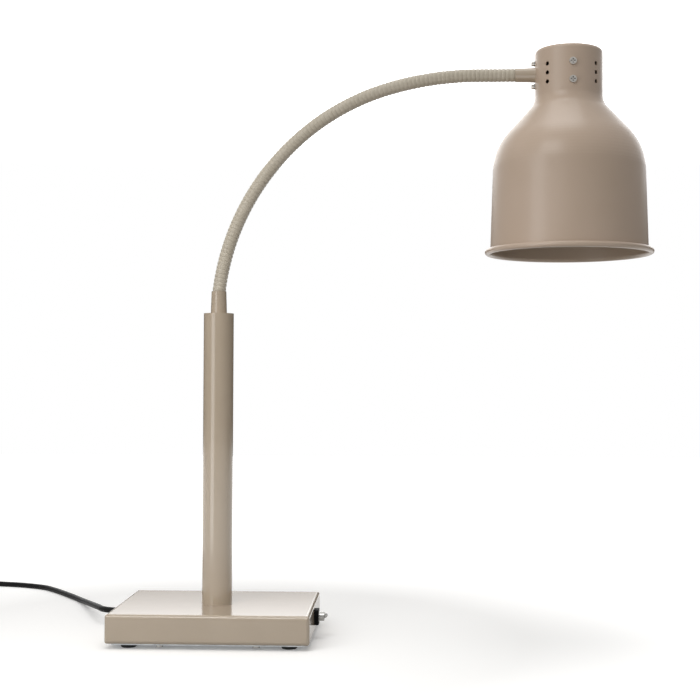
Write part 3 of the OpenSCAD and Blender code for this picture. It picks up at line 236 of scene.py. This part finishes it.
# plug: moulded body with finger flutes, ribbed relief and two round pins
plugSetup = {"diameter": 37, "bodyLength": 36, "reliefLength": 28, "reliefRibs": 6, "ribPitch": 4,
             "flutes": 14, "fluteDepth": 0.7, "fluteFade": 3, "fluteStop": 5, "gripSteps": 12,
             "pinLength": 19, "pinDiameter": 4.8, "pinGap": 19, "pinInside": 0.5}


def makePlug(setup):
    relief, grip, r = setup["reliefLength"], setup["bodyLength"], setup["diameter"] / 2
    front = relief + grip
    profile = [(0, 3.5), (0, 4.4), (0.4, 4.7)]
    for k in range(setup["reliefRibs"]):
        start = 2.5 + k * setup["ribPitch"]
        radius = 4.8 + 0.28 * k  # the sleeve widens towards the body
        profile += [(start, radius), (start + 0.3, radius - 0.9), (start + 1.7, radius - 0.85),
                    (start + 2, radius + 0.15), (start + 3.6, radius + 0.2)]
    profile += [(relief - 0.4, 6.5), (relief, 8.6), (relief + 0.6, 9.5), (relief + 3, 11.6),
                (relief + 6, 14.4), (relief + 8.5, 16.9), (relief + 10, 18)]
    gripStart, gripLength, steps = relief + 11, grip - 13.2, setup["gripSteps"]
    profile += [(gripStart + gripLength * k / steps, r) for k in range(steps + 1)]
    profile += [(front - 1.2, r - 0.15), (front - 0.35, r - 0.5), (front, r - 1.3),
                (front, r - 3.2), (front - 0.5, r - 3.5), (front - 0.5, 0.5)]

    def fluted(along, radius, angle):
        # finger flutes that run out at both ends of the grip
        fade = setup["fluteFade"]
        fromRear = min(max((along - gripStart) / fade, 0), 1)
        fromFront = min(max((front - setup["fluteStop"] - along) / fade, 0), 1)
        wave = 0.5 + 0.5 * cos(setup["flutes"] * 2 * angle)
        return radius - setup["fluteDepth"] * fromRear * fromFront * wave ** 3

    place = Vector((plugX, cordSetup["plugY"], cordSetup["plugZ"])) * mm
    body = turnedMesh("plugBody", profile, place, (0, -1, 0), sides=12 * setup["flutes"],
                      radiusAt=fluted)
    sharpen(body, 40)
    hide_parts("plug")
    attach(body, "base")
    pins = []
    pinRoot = front - setup["pinInside"]
    length = setup["pinLength"] + setup["pinInside"]
    rp = setup["pinDiameter"] / 2
    pinProfile = [(0, rp), (length - rp, rp)]
    for degrees in (20, 40, 60, 75, 86):  # its rounded tip
        a = radians(degrees)
        pinProfile.append((length - rp + rp * sin(a), rp * cos(a)))
    for k, side in enumerate((-1, 1)):
        root = place + Vector((side * setup["pinGap"] / 2, -pinRoot, 0)) * mm
        pin = turnedMesh("plugPin%d" % (k + 1), pinProfile, root, (0, -1, 0), sides=32)
        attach(pin, "base")
        pins.append(pin)
    return body, pins


plugBody, plugPins = makePlug(plugSetup)
print("plug made")


# strain relief in the left wall: inner collar, flange, then a tapered sleeve cut by flex grooves
reliefSetup = {"out": 13, "in": 7, "inFlange": 5.5, "flange": 14, "flangeThick": 2, "root": 11,
               "tip": 9.6, "bore": 7.2, "grooves": 3, "grooveDepth": 0.9, "grooveShare": 0.42,
               "firstGroove": 1.6, "tipLand": 1.2}


def makeRelief(setup):
    out, deep, rf, thick = setup["out"], -setup["in"], setup["flange"] / 2, setup["flangeThick"]
    r0, r1, bore = setup["root"] / 2, setup["tip"] / 2, setup["bore"] / 2
    collarEnd = deep + setup["inFlange"]
    profile = [(deep, bore), (deep, rf - 0.4), (deep + 0.3, rf), (collarEnd - 0.3, rf), (collarEnd, rf - 0.3),
               (collarEnd, r0), (0, r0), (0, rf - 0.2), (0.3, rf), (thick - 0.6, rf), (thick, rf - 0.6),
               (thick + 0.1, r0 + 0.5), (thick + 0.5, r0)]
    first = thick + setup["firstGroove"]
    pitch = (out - first - setup["tipLand"]) / setup["grooves"]
    for k in range(setup["grooves"]):
        a = first + k * pitch
        b = a + pitch * setup["grooveShare"]
        r = r0 + (r1 - r0) * (a / out)
        bottom = r - setup["grooveDepth"]
        profile += [(a, r), (a + 0.15, r - 0.2), (a + 0.3, bottom), (b, bottom),
                    (b + 0.15, r - 0.25), (b + 0.3, r - 0.05)]
    profile += [(out - 0.8, r1), (out - 0.2, r1 - 0.2), (out, r1 - 0.6), (out, bore)]
    exitPlace = Vector(cordSetup["exit"])
    wall = (exitPlace + Vector((out, 0, 0))) * mm
    relief = turnedMesh("strainRelief", profile, wall, (-1, 0, 0), sides=64, loop=True)
    sharpen(relief, 50)
    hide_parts("cord_gland")
    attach(relief, "base")
    return relief


strainRelief = makeRelief(reliefSetup)
print("strain relief made")


# gooseneck: rounded ribs along its bent middle line, in nine stretches
neckSetup = {
    "start": 370, "straight": 15, "endStraight": 41, "endSmooth": 15,
    "bends": [(50, 7), (274.5, 42), (264, 25), (360, 16)],
    "ribs": 95, "firstRib": 19.5, "endGap": 0.5, "crest": 7.5, "groove": 7.0, "bore": 3.5,
    "smooth": 6.8, "rootSmooth": 15, "sides": 40,
    # a rib's outline over its own pitch, full in the middle and steep at the grooves
    "ribSteps": (0, 0.06, 0.14, 0.24, 0.36, 0.5, 0.64, 0.76, 0.86, 0.94), "ribFullness": 0.6,
}


def neckLength(setup):
    return setup["straight"] + sum(r * radians(turn) for r, turn in setup["bends"])


def neckAt(s):
    # place on the middle line and its angle from the vertical
    if s <= neckSetup["straight"]:
        return 0, neckSetup["start"] + s, 0
    x, z, angle = 0, neckSetup["start"] + neckSetup["straight"], 0
    s -= neckSetup["straight"]
    for r, turn in neckSetup["bends"]:
        turn = radians(turn)
        part = min(s / r, turn)
        x += r * (cos(angle) - cos(angle + part))
        z += r * (sin(angle + part) - sin(angle))
        angle += part
        s -= part * r
        if s <= 0:
            return x, z, angle
    return x + s * sin(angle), z + s * cos(angle), angle


neckEnd = neckLength(neckSetup) + neckSetup["endStraight"]
lastRib = neckEnd - neckSetup["endGap"]
ribPitch = (lastRib - neckSetup["firstRib"]) / neckSetup["ribs"]


def ribPlace(i):
    return neckSetup["firstRib"] + i * ribPitch


def neckRing(s, radius):
    x, z, angle = neckAt(s)
    ring = []
    for k in range(neckSetup["sides"]):
        a = 2 * pi * k / neckSetup["sides"]
        c = radius * cos(a)
        ring.append(Vector((x + c * cos(angle), radius * sin(a), z - c * sin(angle))) * mm)
    return ring


def makeNeck(name, first, last, head=(), tail=()):
    # ribs first to last over the bore; head and tail are the smooth ends inside the ferrules
    crest, groove, bore = neckSetup["crest"], neckSetup["groove"], neckSetup["bore"]
    outer = list(head)
    for i in range(first, last):
        for p in neckSetup["ribSteps"]:
            bulge = sin(pi * p) ** neckSetup["ribFullness"]
            outer.append((ribPlace(i + p), groove + (crest - groove) * bulge))
    outer.append((ribPlace(last), groove))
    outer += tail
    inner = [(outer[-1][0], bore)]
    inner += [(ribPlace(i), bore) for i in range(last, first - 1, -1)]
    inner.append((outer[0][0], bore))
    seen, profile = set(), []
    for s, r in outer + inner:
        if (round(s, 4), round(r, 4)) not in seen:
            seen.add((round(s, 4), round(r, 4)))
            profile.append((s, r))
    piece = ringMesh(name, [neckRing(s, r) for s, r in profile], loop=True)
    sharpen(piece, 60)
    return piece


neckStretches = [
    ("neckRoot", "neck_root", 0, 4, "base", None),
    ("neckFlexLow", "neck_flex_low", 4, 10, "base", "arm_low"),
    ("neckLower", "neck_lower", 10, 16, "arm_low", None),
    ("neckFlexSide", "neck_flex_side", 16, 22, "arm_low", "arm_middle"),
    ("neckMiddle", "neck_middle", 22, 45, "arm_middle", None),
    ("neckFlexMid", "neck_flex_mid", 45, 51, "arm_middle", "arm_upper"),
    ("neckUpper", "neck_upper", 51, 80, "arm_upper", None),
    ("neckFlexTop", "neck_flex_top", 80, 86, "arm_upper", "head"),
    ("neckEnd", "neck_end", 86, 95, "head", None),
]
neckPieces = []
smoothR = neckSetup["smooth"]
for name, node, first, last, body, nextBody in neckStretches:
    head, tail = (), ()
    if first == 0:
        head = [(0, smoothR), (neckSetup["rootSmooth"], smoothR)]
    if last == neckSetup["ribs"]:
        tail = [(neckEnd, smoothR), (neckEnd + neckSetup["endSmooth"], smoothR)]
    piece = makeNeck(name, first, last, head, tail)
    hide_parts(node)
    if nextBody:
        ends = [neckAt(ribPlace(i)) for i in (first, last)]
        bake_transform(piece)
    else:
        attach(piece, body)
    neckPieces.append(piece)
print("gooseneck made, rib pitch %.2f mm" % ribPitch)


# inside the bulb: stem, support wires and a coiled filament behind the clear face
bulbSetup = {"x": 393.9, "stemTop": 596, "stemLow": 522, "filamentZ": 516, "filamentR": 13,
             "wireR": 0.28, "coilR": 0.8, "coilTurns": 60, "turnPoints": 8,
             "supports": (40, 133, 227, 320)}  # degrees round the stem, from one filament end to the other


def makeFilament(setup):
    x = setup["x"]
    stem = turnedMesh("bulbStem", [(0, 9), (4, 7), (20, 4.5), (50, 3.5), (66, 4.6), (73, 4), (74, 2)],
                      Vector((x, 0, setup["stemTop"])) * mm, (0, 0, -1), sides=32)
    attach(stem, "head")
    wires = bpy.data.curves.new("bulbFilament", "CURVE")
    wires.dimensions = "3D"
    wires.bevel_depth = 1
    wires.bevel_resolution = 2
    coil = []
    count = setup["coilTurns"] * setup["turnPoints"]
    begin, end = setup["supports"][0], setup["supports"][-1]
    for k in range(count + 1):
        around = radians(begin + (end - begin) * k / count)
        twist = 2 * pi * k / setup["turnPoints"]
        r = setup["filamentR"] + setup["coilR"] * cos(twist)
        coil.append((x + r * cos(around), r * sin(around), setup["filamentZ"] + setup["coilR"] * sin(twist)))
    lines = [coil]
    for degrees in setup["supports"]:
        a = radians(degrees)
        lines.append([(x + 2.5 * cos(a), 2.5 * sin(a), setup["stemLow"] + 4),
                      (x + 7 * cos(a), 7 * sin(a), setup["stemLow"] + 1),
                      (x + setup["filamentR"] * cos(a), setup["filamentR"] * sin(a), setup["filamentZ"])])
    for line in lines:
        spline = wires.splines.new("POLY")
        spline.points.add(len(line) - 1)
        for point, place in zip(spline.points, line):
            point.co = (*(Vector(place) * mm), 1)
            point.radius = setup["wireR"] * mm
    filament = makeObject("bulbFilament", wires)
    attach(filament, "head")
    return stem, filament


bulbStem, bulbFilament = makeFilament(bulbSetup)
print("filament made")


# finishes
def hexColour(text):
    # sRGB hex to linear
    parts = [int(text[i:i + 2], 16) / 255 for i in (1, 3, 5)]
    return (*[c / 12.92 if c <= 0.04045 else ((c + 0.055) / 1.055) ** 2.4 for c in parts], 1)


def addNode(tree, kind, settings, links=None):
    node = tree.nodes.new(kind)
    for key, value in settings.items():
        if isinstance(key, str) and hasattr(node, key):
            setattr(node, key, value)
        else:
            node.inputs[key].default_value = value
    for key, socket in (links or {}).items():
        tree.links.new(socket, node.inputs[key])
    return node


def perMetre(sizeMm):
    # texture scale at which one feature is sizeMm across
    return 1000 / sizeMm


def newFinish(name):
    material = bpy.data.materials.new(name)
    material.use_nodes = True
    tree = material.node_tree
    tree.nodes.clear()
    output = addNode(tree, "ShaderNodeOutputMaterial", {})
    place = addNode(tree, "ShaderNodeTexCoord", {}).outputs["Object"]
    return material, tree, output, place


# how far round a point must be shut in to count as a hollow, and how much painted shade that puts into its
# colour
recessShadeLook = {"shut": 0.45, "open": 0.85, "darkest": 0.97}
driftBand = (0.35, 0.65)  # part of the noise over which the darker tone turns to the lighter


def surface(name, look):
    # one principled surface: two near tones that drift, a varying roughness and a fine relief;
    # where a recess size is given, painted shade darkens hollows narrower than that
    material, tree, output, place = newFinish(name)
    drift = addNode(tree, "ShaderNodeTexNoise", {"Scale": perMetre(look["driftMm"]), "Detail": 3.0},
                    {"Vector": place})
    tone = addNode(tree, "ShaderNodeValToRGB", {}, {"Fac": drift.outputs["Fac"]})
    for stop, position, shade in zip(tone.color_ramp.elements, driftBand, (look["dark"], look["light"])):
        stop.position, stop.color = position, hexColour(shade)
    grain = addNode(tree, "ShaderNodeTexNoise", {"Scale": perMetre(look["grainMm"]), "Detail": 2.0},
                    {"Vector": place})
    smoothest, roughest = look["roughness"]
    gloss = addNode(tree, "ShaderNodeMapRange", {"To Min": smoothest, "To Max": roughest},
                    {"Value": grain.outputs["Fac"]})
    relief = addNode(tree, "ShaderNodeBump", {"Strength": look["relief"], "Distance": look["reliefMm"] * mm},
                     {"Height": grain.outputs["Fac"]})
    colour = tone.outputs["Color"]
    # painted shade: ambient occlusion darkens the colour inside hollows and recesses
    if "recessShadeMm" in look:
        hollow = addNode(tree, "ShaderNodeAmbientOcclusion", {"Distance": look["recessShadeMm"] * mm})
        shut = addNode(tree, "ShaderNodeMapRange", {
            "From Min": recessShadeLook["shut"], "From Max": recessShadeLook["open"],
            "To Min": recessShadeLook["darkest"], "To Max": 0.0}, {"Value": hollow.outputs["AO"]})
        colour = addNode(tree, "ShaderNodeMix", {"data_type": "RGBA", 7: (0, 0, 0, 1)},
                         {0: shut.outputs["Result"], 6: colour}).outputs[2]
    skin = addNode(tree, "ShaderNodeBsdfPrincipled", look.get("shader", {}),
                   {"Base Color": colour, "Roughness": gloss.outputs["Result"],
                    "Normal": relief.outputs["Normal"]})
    tree.links.new(skin.outputs["BSDF"], output.inputs["Surface"])
    return material


# powder coat on steel: a warm taupe half-gloss that mirrors what is near, with a faint orange peel
powderCoat = surface("powderCoatTaupe", {
    "dark": "#AE9F8C", "light": "#B2A390", "driftMm": 60, "grainMm": 2.4, "roughness": (0.1, 0.15),
    "relief": 0.02, "reliefMm": 0.04, "shader": {"IOR": 1.6}})
# the same coat on spun aluminium: a duller satin with soft, broad highlights
shadeCoat = surface("powderCoatShade", {
    "dark": "#B4A08D", "light": "#B8A492", "driftMm": 80, "grainMm": 2.8, "roughness": (0.28, 0.36),
    "relief": 0.05, "reliefMm": 0.06, "shader": {"IOR": 1.5}})
# the coat over the gooseneck's ribs: painted lighter and greyer than the base coat as a painted reflection of
# the bright surround, and a little dulled by bending
ribCoat = surface("powderCoatGooseneck", {
    "dark": "#B3AA99", "light": "#B7AE9E", "driftMm": 30, "grainMm": 1.6, "roughness": (0.3, 0.4),
    "relief": 0.02, "reliefMm": 0.02, "shader": {"IOR": 1.45}})
# bright zinc plate: bluish grey metal with a cloudy, slightly uneven sheen
zincPlate = surface("zincPlatedSteel", {
    "dark": "#A9ADB0", "light": "#C4C8CA", "driftMm": 9, "grainMm": 1.6, "roughness": (0.3, 0.42),
    "relief": 0.12, "reliefMm": 0.08, "shader": {"Metallic": 1.0}})
# cast ballast under a thin black primer: rough, dull, nearly no highlight
castIron = surface("primedCastIron", {
    "dark": "#2E2D2C", "light": "#3A3938", "driftMm": 7, "grainMm": 1.4, "roughness": (0.6, 0.78),
    "relief": 0.5, "reliefMm": 0.35})
# nickel-plated turned steel: bright, with tight highlights
nickelPlate = surface("nickelPlatedSteel", {
    "dark": "#9C9B98", "light": "#B0AFAC", "driftMm": 4, "grainMm": 0.8, "roughness": (0.2, 0.3),
    "relief": 0.05, "reliefMm": 0.04, "shader": {"Metallic": 1.0}})
# bright machine screws on the shade: silvery heads; painted shade darkens the cross recess
screwSteel = surface("brightSteelScrew", {
    "dark": "#C4C0B9", "light": "#D6D2CC", "driftMm": 3, "grainMm": 0.8, "roughness": (0.26, 0.36),
    "relief": 0.05, "reliefMm": 0.04, "recessShadeMm": 1.1, "shader": {"Metallic": 1.0}})
# moulded nitrile rubber: deep grey-black, matt, grippy skin
footRubber = surface("mouldedRubber", {
    "dark": "#1B1B1B", "light": "#242424", "driftMm": 5, "grainMm": 0.9, "roughness": (0.62, 0.76),
    "relief": 0.3, "reliefMm": 0.1})
# extruded cord sheath: black PVC with a soft sheen along its length
cordSheath = surface("extrudedPvcSheath", {
    "dark": "#0C0C0C", "light": "#121213", "driftMm": 30, "grainMm": 1.2, "roughness": (0.48, 0.6),
    "relief": 0.02, "reliefMm": 0.03, "shader": {"Specular IOR Level": 0.2}})
# silicone lead sheath inside the lamp: off-white, waxy and matt
leadSheath = surface("siliconeLead", {
    "dark": "#CBC7BC", "light": "#D8D5CB", "driftMm": 12, "grainMm": 1.0, "roughness": (0.5, 0.62),
    "relief": 0.1, "reliefMm": 0.05})
# moulded polyamide: black with a spark-eroded fine matt grain
blackNylon = surface("mouldedBlackPolyamide", {
    "dark": "#131313", "light": "#191919", "driftMm": 14, "grainMm": 0.9, "roughness": (0.36, 0.48),
    "relief": 0.22, "reliefMm": 0.08})
# switch surround: dull black moulding that shows almost no sheen on its top
dullNylon = surface("dullBlackPolyamide", {
    "dark": "#0D0D0D", "light": "#131313", "driftMm": 10, "grainMm": 0.9, "roughness": (0.7, 0.82),
    "relief": 0.2, "reliefMm": 0.06, "shader": {"Specular IOR Level": 0.12}})
# natural polyamide of the terminal block and clamp: creamy, a little glossy
creamNylon = surface("mouldedNaturalPolyamide", {
    "dark": "#DDD8C6", "light": "#E6E1D1", "driftMm": 10, "grainMm": 1.0, "roughness": (0.34, 0.44),
    "relief": 0.1, "reliefMm": 0.05, "shader": {"Subsurface Weight": 0.05, "Subsurface Scale": 0.002}})
# drawn brass, a little tarnished: warm metal with soft brown clouds
drawnBrass = surface("drawnBrass", {
    "dark": "#B08D4C", "light": "#CDAA62", "driftMm": 6, "grainMm": 0.9, "roughness": (0.24, 0.36),
    "relief": 0.08, "reliefMm": 0.05, "shader": {"Metallic": 1.0}})
# glazed steatite of the lampholder: off-white ceramic under a clear coat
steatite = surface("glazedSteatite", {
    "dark": "#E4E0D5", "light": "#ECE9E0", "driftMm": 12, "grainMm": 2.0, "roughness": (0.3, 0.42),
    "relief": 0.14, "reliefMm": 0.08, "shader": {"Coat Weight": 0.6, "Coat Roughness": 0.12}})
# woven hook-and-loop strap round the coil: dull black with a fine nap
strapWeave = surface("wovenStrap", {
    "dark": "#191919", "light": "#2B2B2B", "driftMm": 1.2, "grainMm": 0.8, "roughness": (0.8, 0.95),
    "relief": 0.7, "reliefMm": 0.25})
# tungsten wire: dark, slightly bluish metal
tungsten = surface("tungstenWire", {
    "dark": "#6B6B6E", "light": "#7E7E82", "driftMm": 3, "grainMm": 0.8, "roughness": (0.35, 0.45),
    "relief": 0.05, "reliefMm": 0.02, "shader": {"Metallic": 1.0}})

bulbLook = {"mirror": "#D9D8D5", "clear": "#F4F6F5", "edgeZ": 0.502, "blendM": 0.004,
            "hazeMm": 5, "roughness": (0.1, 0.2)}


def makeBulbFinish(look):
    # blown glass: silvered inside from its widest edge up, clear and lightly frosted at the face
    material, tree, output, place = newFinish("silveredBulbGlass")
    axes = addNode(tree, "ShaderNodeSeparateXYZ", {}, {"Vector": place})
    silver = addNode(tree, "ShaderNodeMapRange", {
        "From Min": look["edgeZ"], "From Max": look["edgeZ"] + look["blendM"]}, {"Value": axes.outputs["Z"]})
    tone = addNode(tree, "ShaderNodeMix", {
        "data_type": "RGBA", 6: hexColour(look["clear"]), 7: hexColour(look["mirror"])},
        {0: silver.outputs["Result"]})
    haze = addNode(tree, "ShaderNodeTexNoise", {"Scale": perMetre(look["hazeMm"]), "Detail": 2.0},
                   {"Vector": place})
    smoothest, roughest = look["roughness"]
    gloss = addNode(tree, "ShaderNodeMapRange", {"To Min": smoothest, "To Max": roughest},
                    {"Value": haze.outputs["Fac"]})
    see = addNode(tree, "ShaderNodeMapRange", {"To Min": 1.0, "To Max": 0.0},
                  {"Value": silver.outputs["Result"]})
    skin = addNode(tree, "ShaderNodeBsdfPrincipled", {"IOR": 1.5},
                   {"Base Color": tone.outputs[2], "Metallic": silver.outputs["Result"],
                    "Roughness": gloss.outputs["Result"], "Transmission Weight": see.outputs["Result"]})
    tree.links.new(skin.outputs["BSDF"], output.inputs["Surface"])
    return material


bulbFinish = makeBulbFinish(bulbLook)

finishOf = {
    powderCoat: ["base_cover", "column_tube", "column_top_plug", "lower_ferrule", "upper_ferrule"],
    shadeCoat: ["shade"],
    castIron: ["ballast"],
    zincPlate: ["bottom_plate", "stiffener", "column_foot_plug", "column_stud", "column_stud_nut",
                "lower_ferrule_nut", "upper_ferrule_nut", "arm_saddle", "holder_bracket", "front_nuts"],
    nickelPlate: ["ballast_screws", "cover_screws", "foot_screws", "clamp_screws", "earth_screw",
                  "switch_bushing", "switch_nut", "switch_lever", "side_washers", "holder_screws"],
    screwSteel: ["front_screws", "side_screws"],
    footRubber: ["feet"],
    cordSheath: ["cord_tail", "switch_wires"],
    leadSheath: ["column_lead", "head_lead"],
    blackNylon: ["switch_body"],
    dullNylon: ["switch_surround"],
    creamNylon: ["terminal_block", "cord_clamp"],
    drawnBrass: ["earth_lug", "switch_terminals", "holder_shell", "holder_contact", "bulb_cap"],
    steatite: ["lampholder"],
    strapWeave: ["coil_tie"],
    bulbFinish: ["bulb_glass"],
}


def dress(piece, material):
    piece.data.materials.clear()
    piece.data.materials.append(material)


for material, names in finishOf.items():
    for name in names:
        dress(nodes[name], material)
for piece in neckPieces:
    dress(piece, ribCoat)
dress(mainsCord, cordSheath)
dress(strainRelief, blackNylon)
dress(plugBody, blackNylon)
for piece in plugPins:
    dress(piece, nickelPlate)
dress(bulbStem, bulbFinish)
dress(bulbFilament, tungsten)
print("finishes set")


# studio: pale floor that keeps the shadow, white surround, soft lamps
studioSetup = {
    "floorSize": 8,
    "floorTone": "#A6A4A0",     # what the floor throws back on the lamp
    "seenTone": "#F6F5F3",      # what the camera and reflections see
    "glow": (0.155, 1.0),       # added to the seen floor, near the lamp and far from it
    "fade": (0.35, 0.9),        # metres from the column between near and far
    "worldLight": 0.5,
    "sideGloss": 0.25,          # the mirrored room beside the backdrop
    "backdrop": (0.6, 0.92),    # how far towards the rear the backdrop begins and is full
    "rise": (0.15, 0.178),      # how high the mirrored backdrop begins and is full
    "riseGloss": (0.0, 3.0),
}


white = (1, 1, 1, 1)


def seenDirectly(tree):
    # 1 for camera, glossy and transmission rays, 0 for the light that falls on the object
    rays = addNode(tree, "ShaderNodeLightPath", {})
    first = addNode(tree, "ShaderNodeMath", {"operation": "MAXIMUM"},
                    {0: rays.outputs["Is Camera Ray"], 1: rays.outputs["Is Glossy Ray"]})
    return addNode(tree, "ShaderNodeMath", {"operation": "MAXIMUM"},
                   {0: first.outputs[0], 1: rays.outputs["Is Transmission Ray"]}).outputs[0]


def makeFloor(setup):
    half = setup["floorSize"] / 2
    corners = ((-half, -half), (half, -half), (half, half), (-half, half))
    mesh = bmesh.new()
    mesh.faces.new([mesh.verts.new((x, y, 0)) for x, y in corners])
    data = bpy.data.meshes.new("studioFloor")
    mesh.to_mesh(data)
    mesh.free()
    floor = makeObject("studioFloor", data)
    material, tree, output, place = newFinish("paleStudioFloor")
    seen = seenDirectly(tree)
    tone = addNode(tree, "ShaderNodeMix", {
        "data_type": "RGBA", 6: hexColour(setup["floorTone"]), 7: hexColour(setup["seenTone"])}, {0: seen})
    matt = addNode(tree, "ShaderNodeBsdfDiffuse", {}, {"Color": tone.outputs[2]})
    reach = addNode(tree, "ShaderNodeVectorMath", {"operation": "LENGTH"}, {0: place})
    fade = addNode(tree, "ShaderNodeMapRange", {
        "From Min": setup["fade"][0], "From Max": setup["fade"][1],
        "To Min": setup["glow"][0], "To Max": setup["glow"][1]}, {"Value": reach.outputs["Value"]})
    strength = addNode(tree, "ShaderNodeMath", {"operation": "MULTIPLY"},
                       {0: seen, 1: fade.outputs["Result"]})
    glow = addNode(tree, "ShaderNodeEmission", {"Color": white}, {"Strength": strength.outputs[0]})
    both = addNode(tree, "ShaderNodeAddShader", {}, {0: matt.outputs[0], 1: glow.outputs[0]})
    tree.links.new(both.outputs[0], output.inputs["Surface"])
    dress(floor, material)


def makeWorld(setup):
    world = bpy.data.worlds.new("studioWorld")
    world.use_nodes = True
    tree = world.node_tree
    tree.nodes.clear()
    soft = addNode(tree, "ShaderNodeBackground", {"Color": white, "Strength": setup["worldLight"]})
    # what the coat mirrors: a white backdrop that brightens upward behind the lamp, in a dimmer room
    direction = addNode(tree, "ShaderNodeTexCoord", {}).outputs["Generated"]
    toward = addNode(tree, "ShaderNodeSeparateXYZ", {}, {0: direction})
    backdrop = addNode(tree, "ShaderNodeMapRange", {
        "From Min": setup["backdrop"][0], "From Max": setup["backdrop"][1],
        "To Min": setup["sideGloss"], "To Max": 1.0}, {"Value": toward.outputs["Y"]})
    rise = addNode(tree, "ShaderNodeMapRange", {
        "From Min": setup["rise"][0], "From Max": setup["rise"][1],
        "To Min": setup["riseGloss"][0], "To Max": setup["riseGloss"][1]}, {"Value": toward.outputs["Z"]})
    mirrored = addNode(tree, "ShaderNodeMath", {"operation": "MULTIPLY"},
                       {0: backdrop.outputs["Result"], 1: rise.outputs["Result"]})
    rays = addNode(tree, "ShaderNodeLightPath", {})
    straight = addNode(tree, "ShaderNodeMath", {"operation": "MAXIMUM"},
                       {0: rays.outputs["Is Camera Ray"], 1: rays.outputs["Is Transmission Ray"]})
    level = addNode(tree, "ShaderNodeMath", {"operation": "MAXIMUM"},
                    {0: straight.outputs[0], 1: mirrored.outputs[0]})
    bright = addNode(tree, "ShaderNodeBackground", {"Color": white}, {"Strength": level.outputs[0]})
    pick = addNode(tree, "ShaderNodeMixShader", {},
                   {0: seenDirectly(tree), 1: soft.outputs[0], 2: bright.outputs[0]})
    addNode(tree, "ShaderNodeOutputWorld", {}, {"Surface": pick.outputs[0]})
    scene.world = world


lampSetup = {
    "overhead": {"place": (0.25, 0.0, 2.0), "aim": (0.25, 0, 0), "size": (0.9, 0.9), "watts": 6.0},
    "frontLeft": {"place": (-0.5, -0.72, 0.46), "aim": (0.15, 0, 0.42), "size": (0.42, 0.95), "watts": 3.0},
    "highFront": {"place": (-0.3, -1.0, 1.3), "aim": (0.3, 0, 0.5), "size": (0.7, 0.6), "watts": 4.2},
    "baseTop": {"place": (0.0, -0.55, 0.66), "aim": (0, -0.05, 0.03), "size": (0.5, 0.15), "watts": 0.25,
                "spread": 90},
}


def makeLamps(lamps):
    for name, lamp in lamps.items():
        data = bpy.data.lights.new(name, "AREA")
        data.shape = "RECTANGLE"
        data.size, data.size_y = lamp["size"]
        data.energy = lamp["watts"]
        data.spread = radians(lamp.get("spread", 180))
        light = makeObject(name, data)
        aim = Vector(lamp["aim"]) - Vector(lamp["place"])
        turn = aim.to_track_quat("-Z", "Y").to_matrix().to_4x4()
        light.matrix_world = Matrix.Translation(lamp["place"]) @ turn


makeFloor(studioSetup)
makeWorld(studioSetup)
makeLamps(lampSetup)
scene.view_settings.view_transform = "Standard"
print("studio lit")
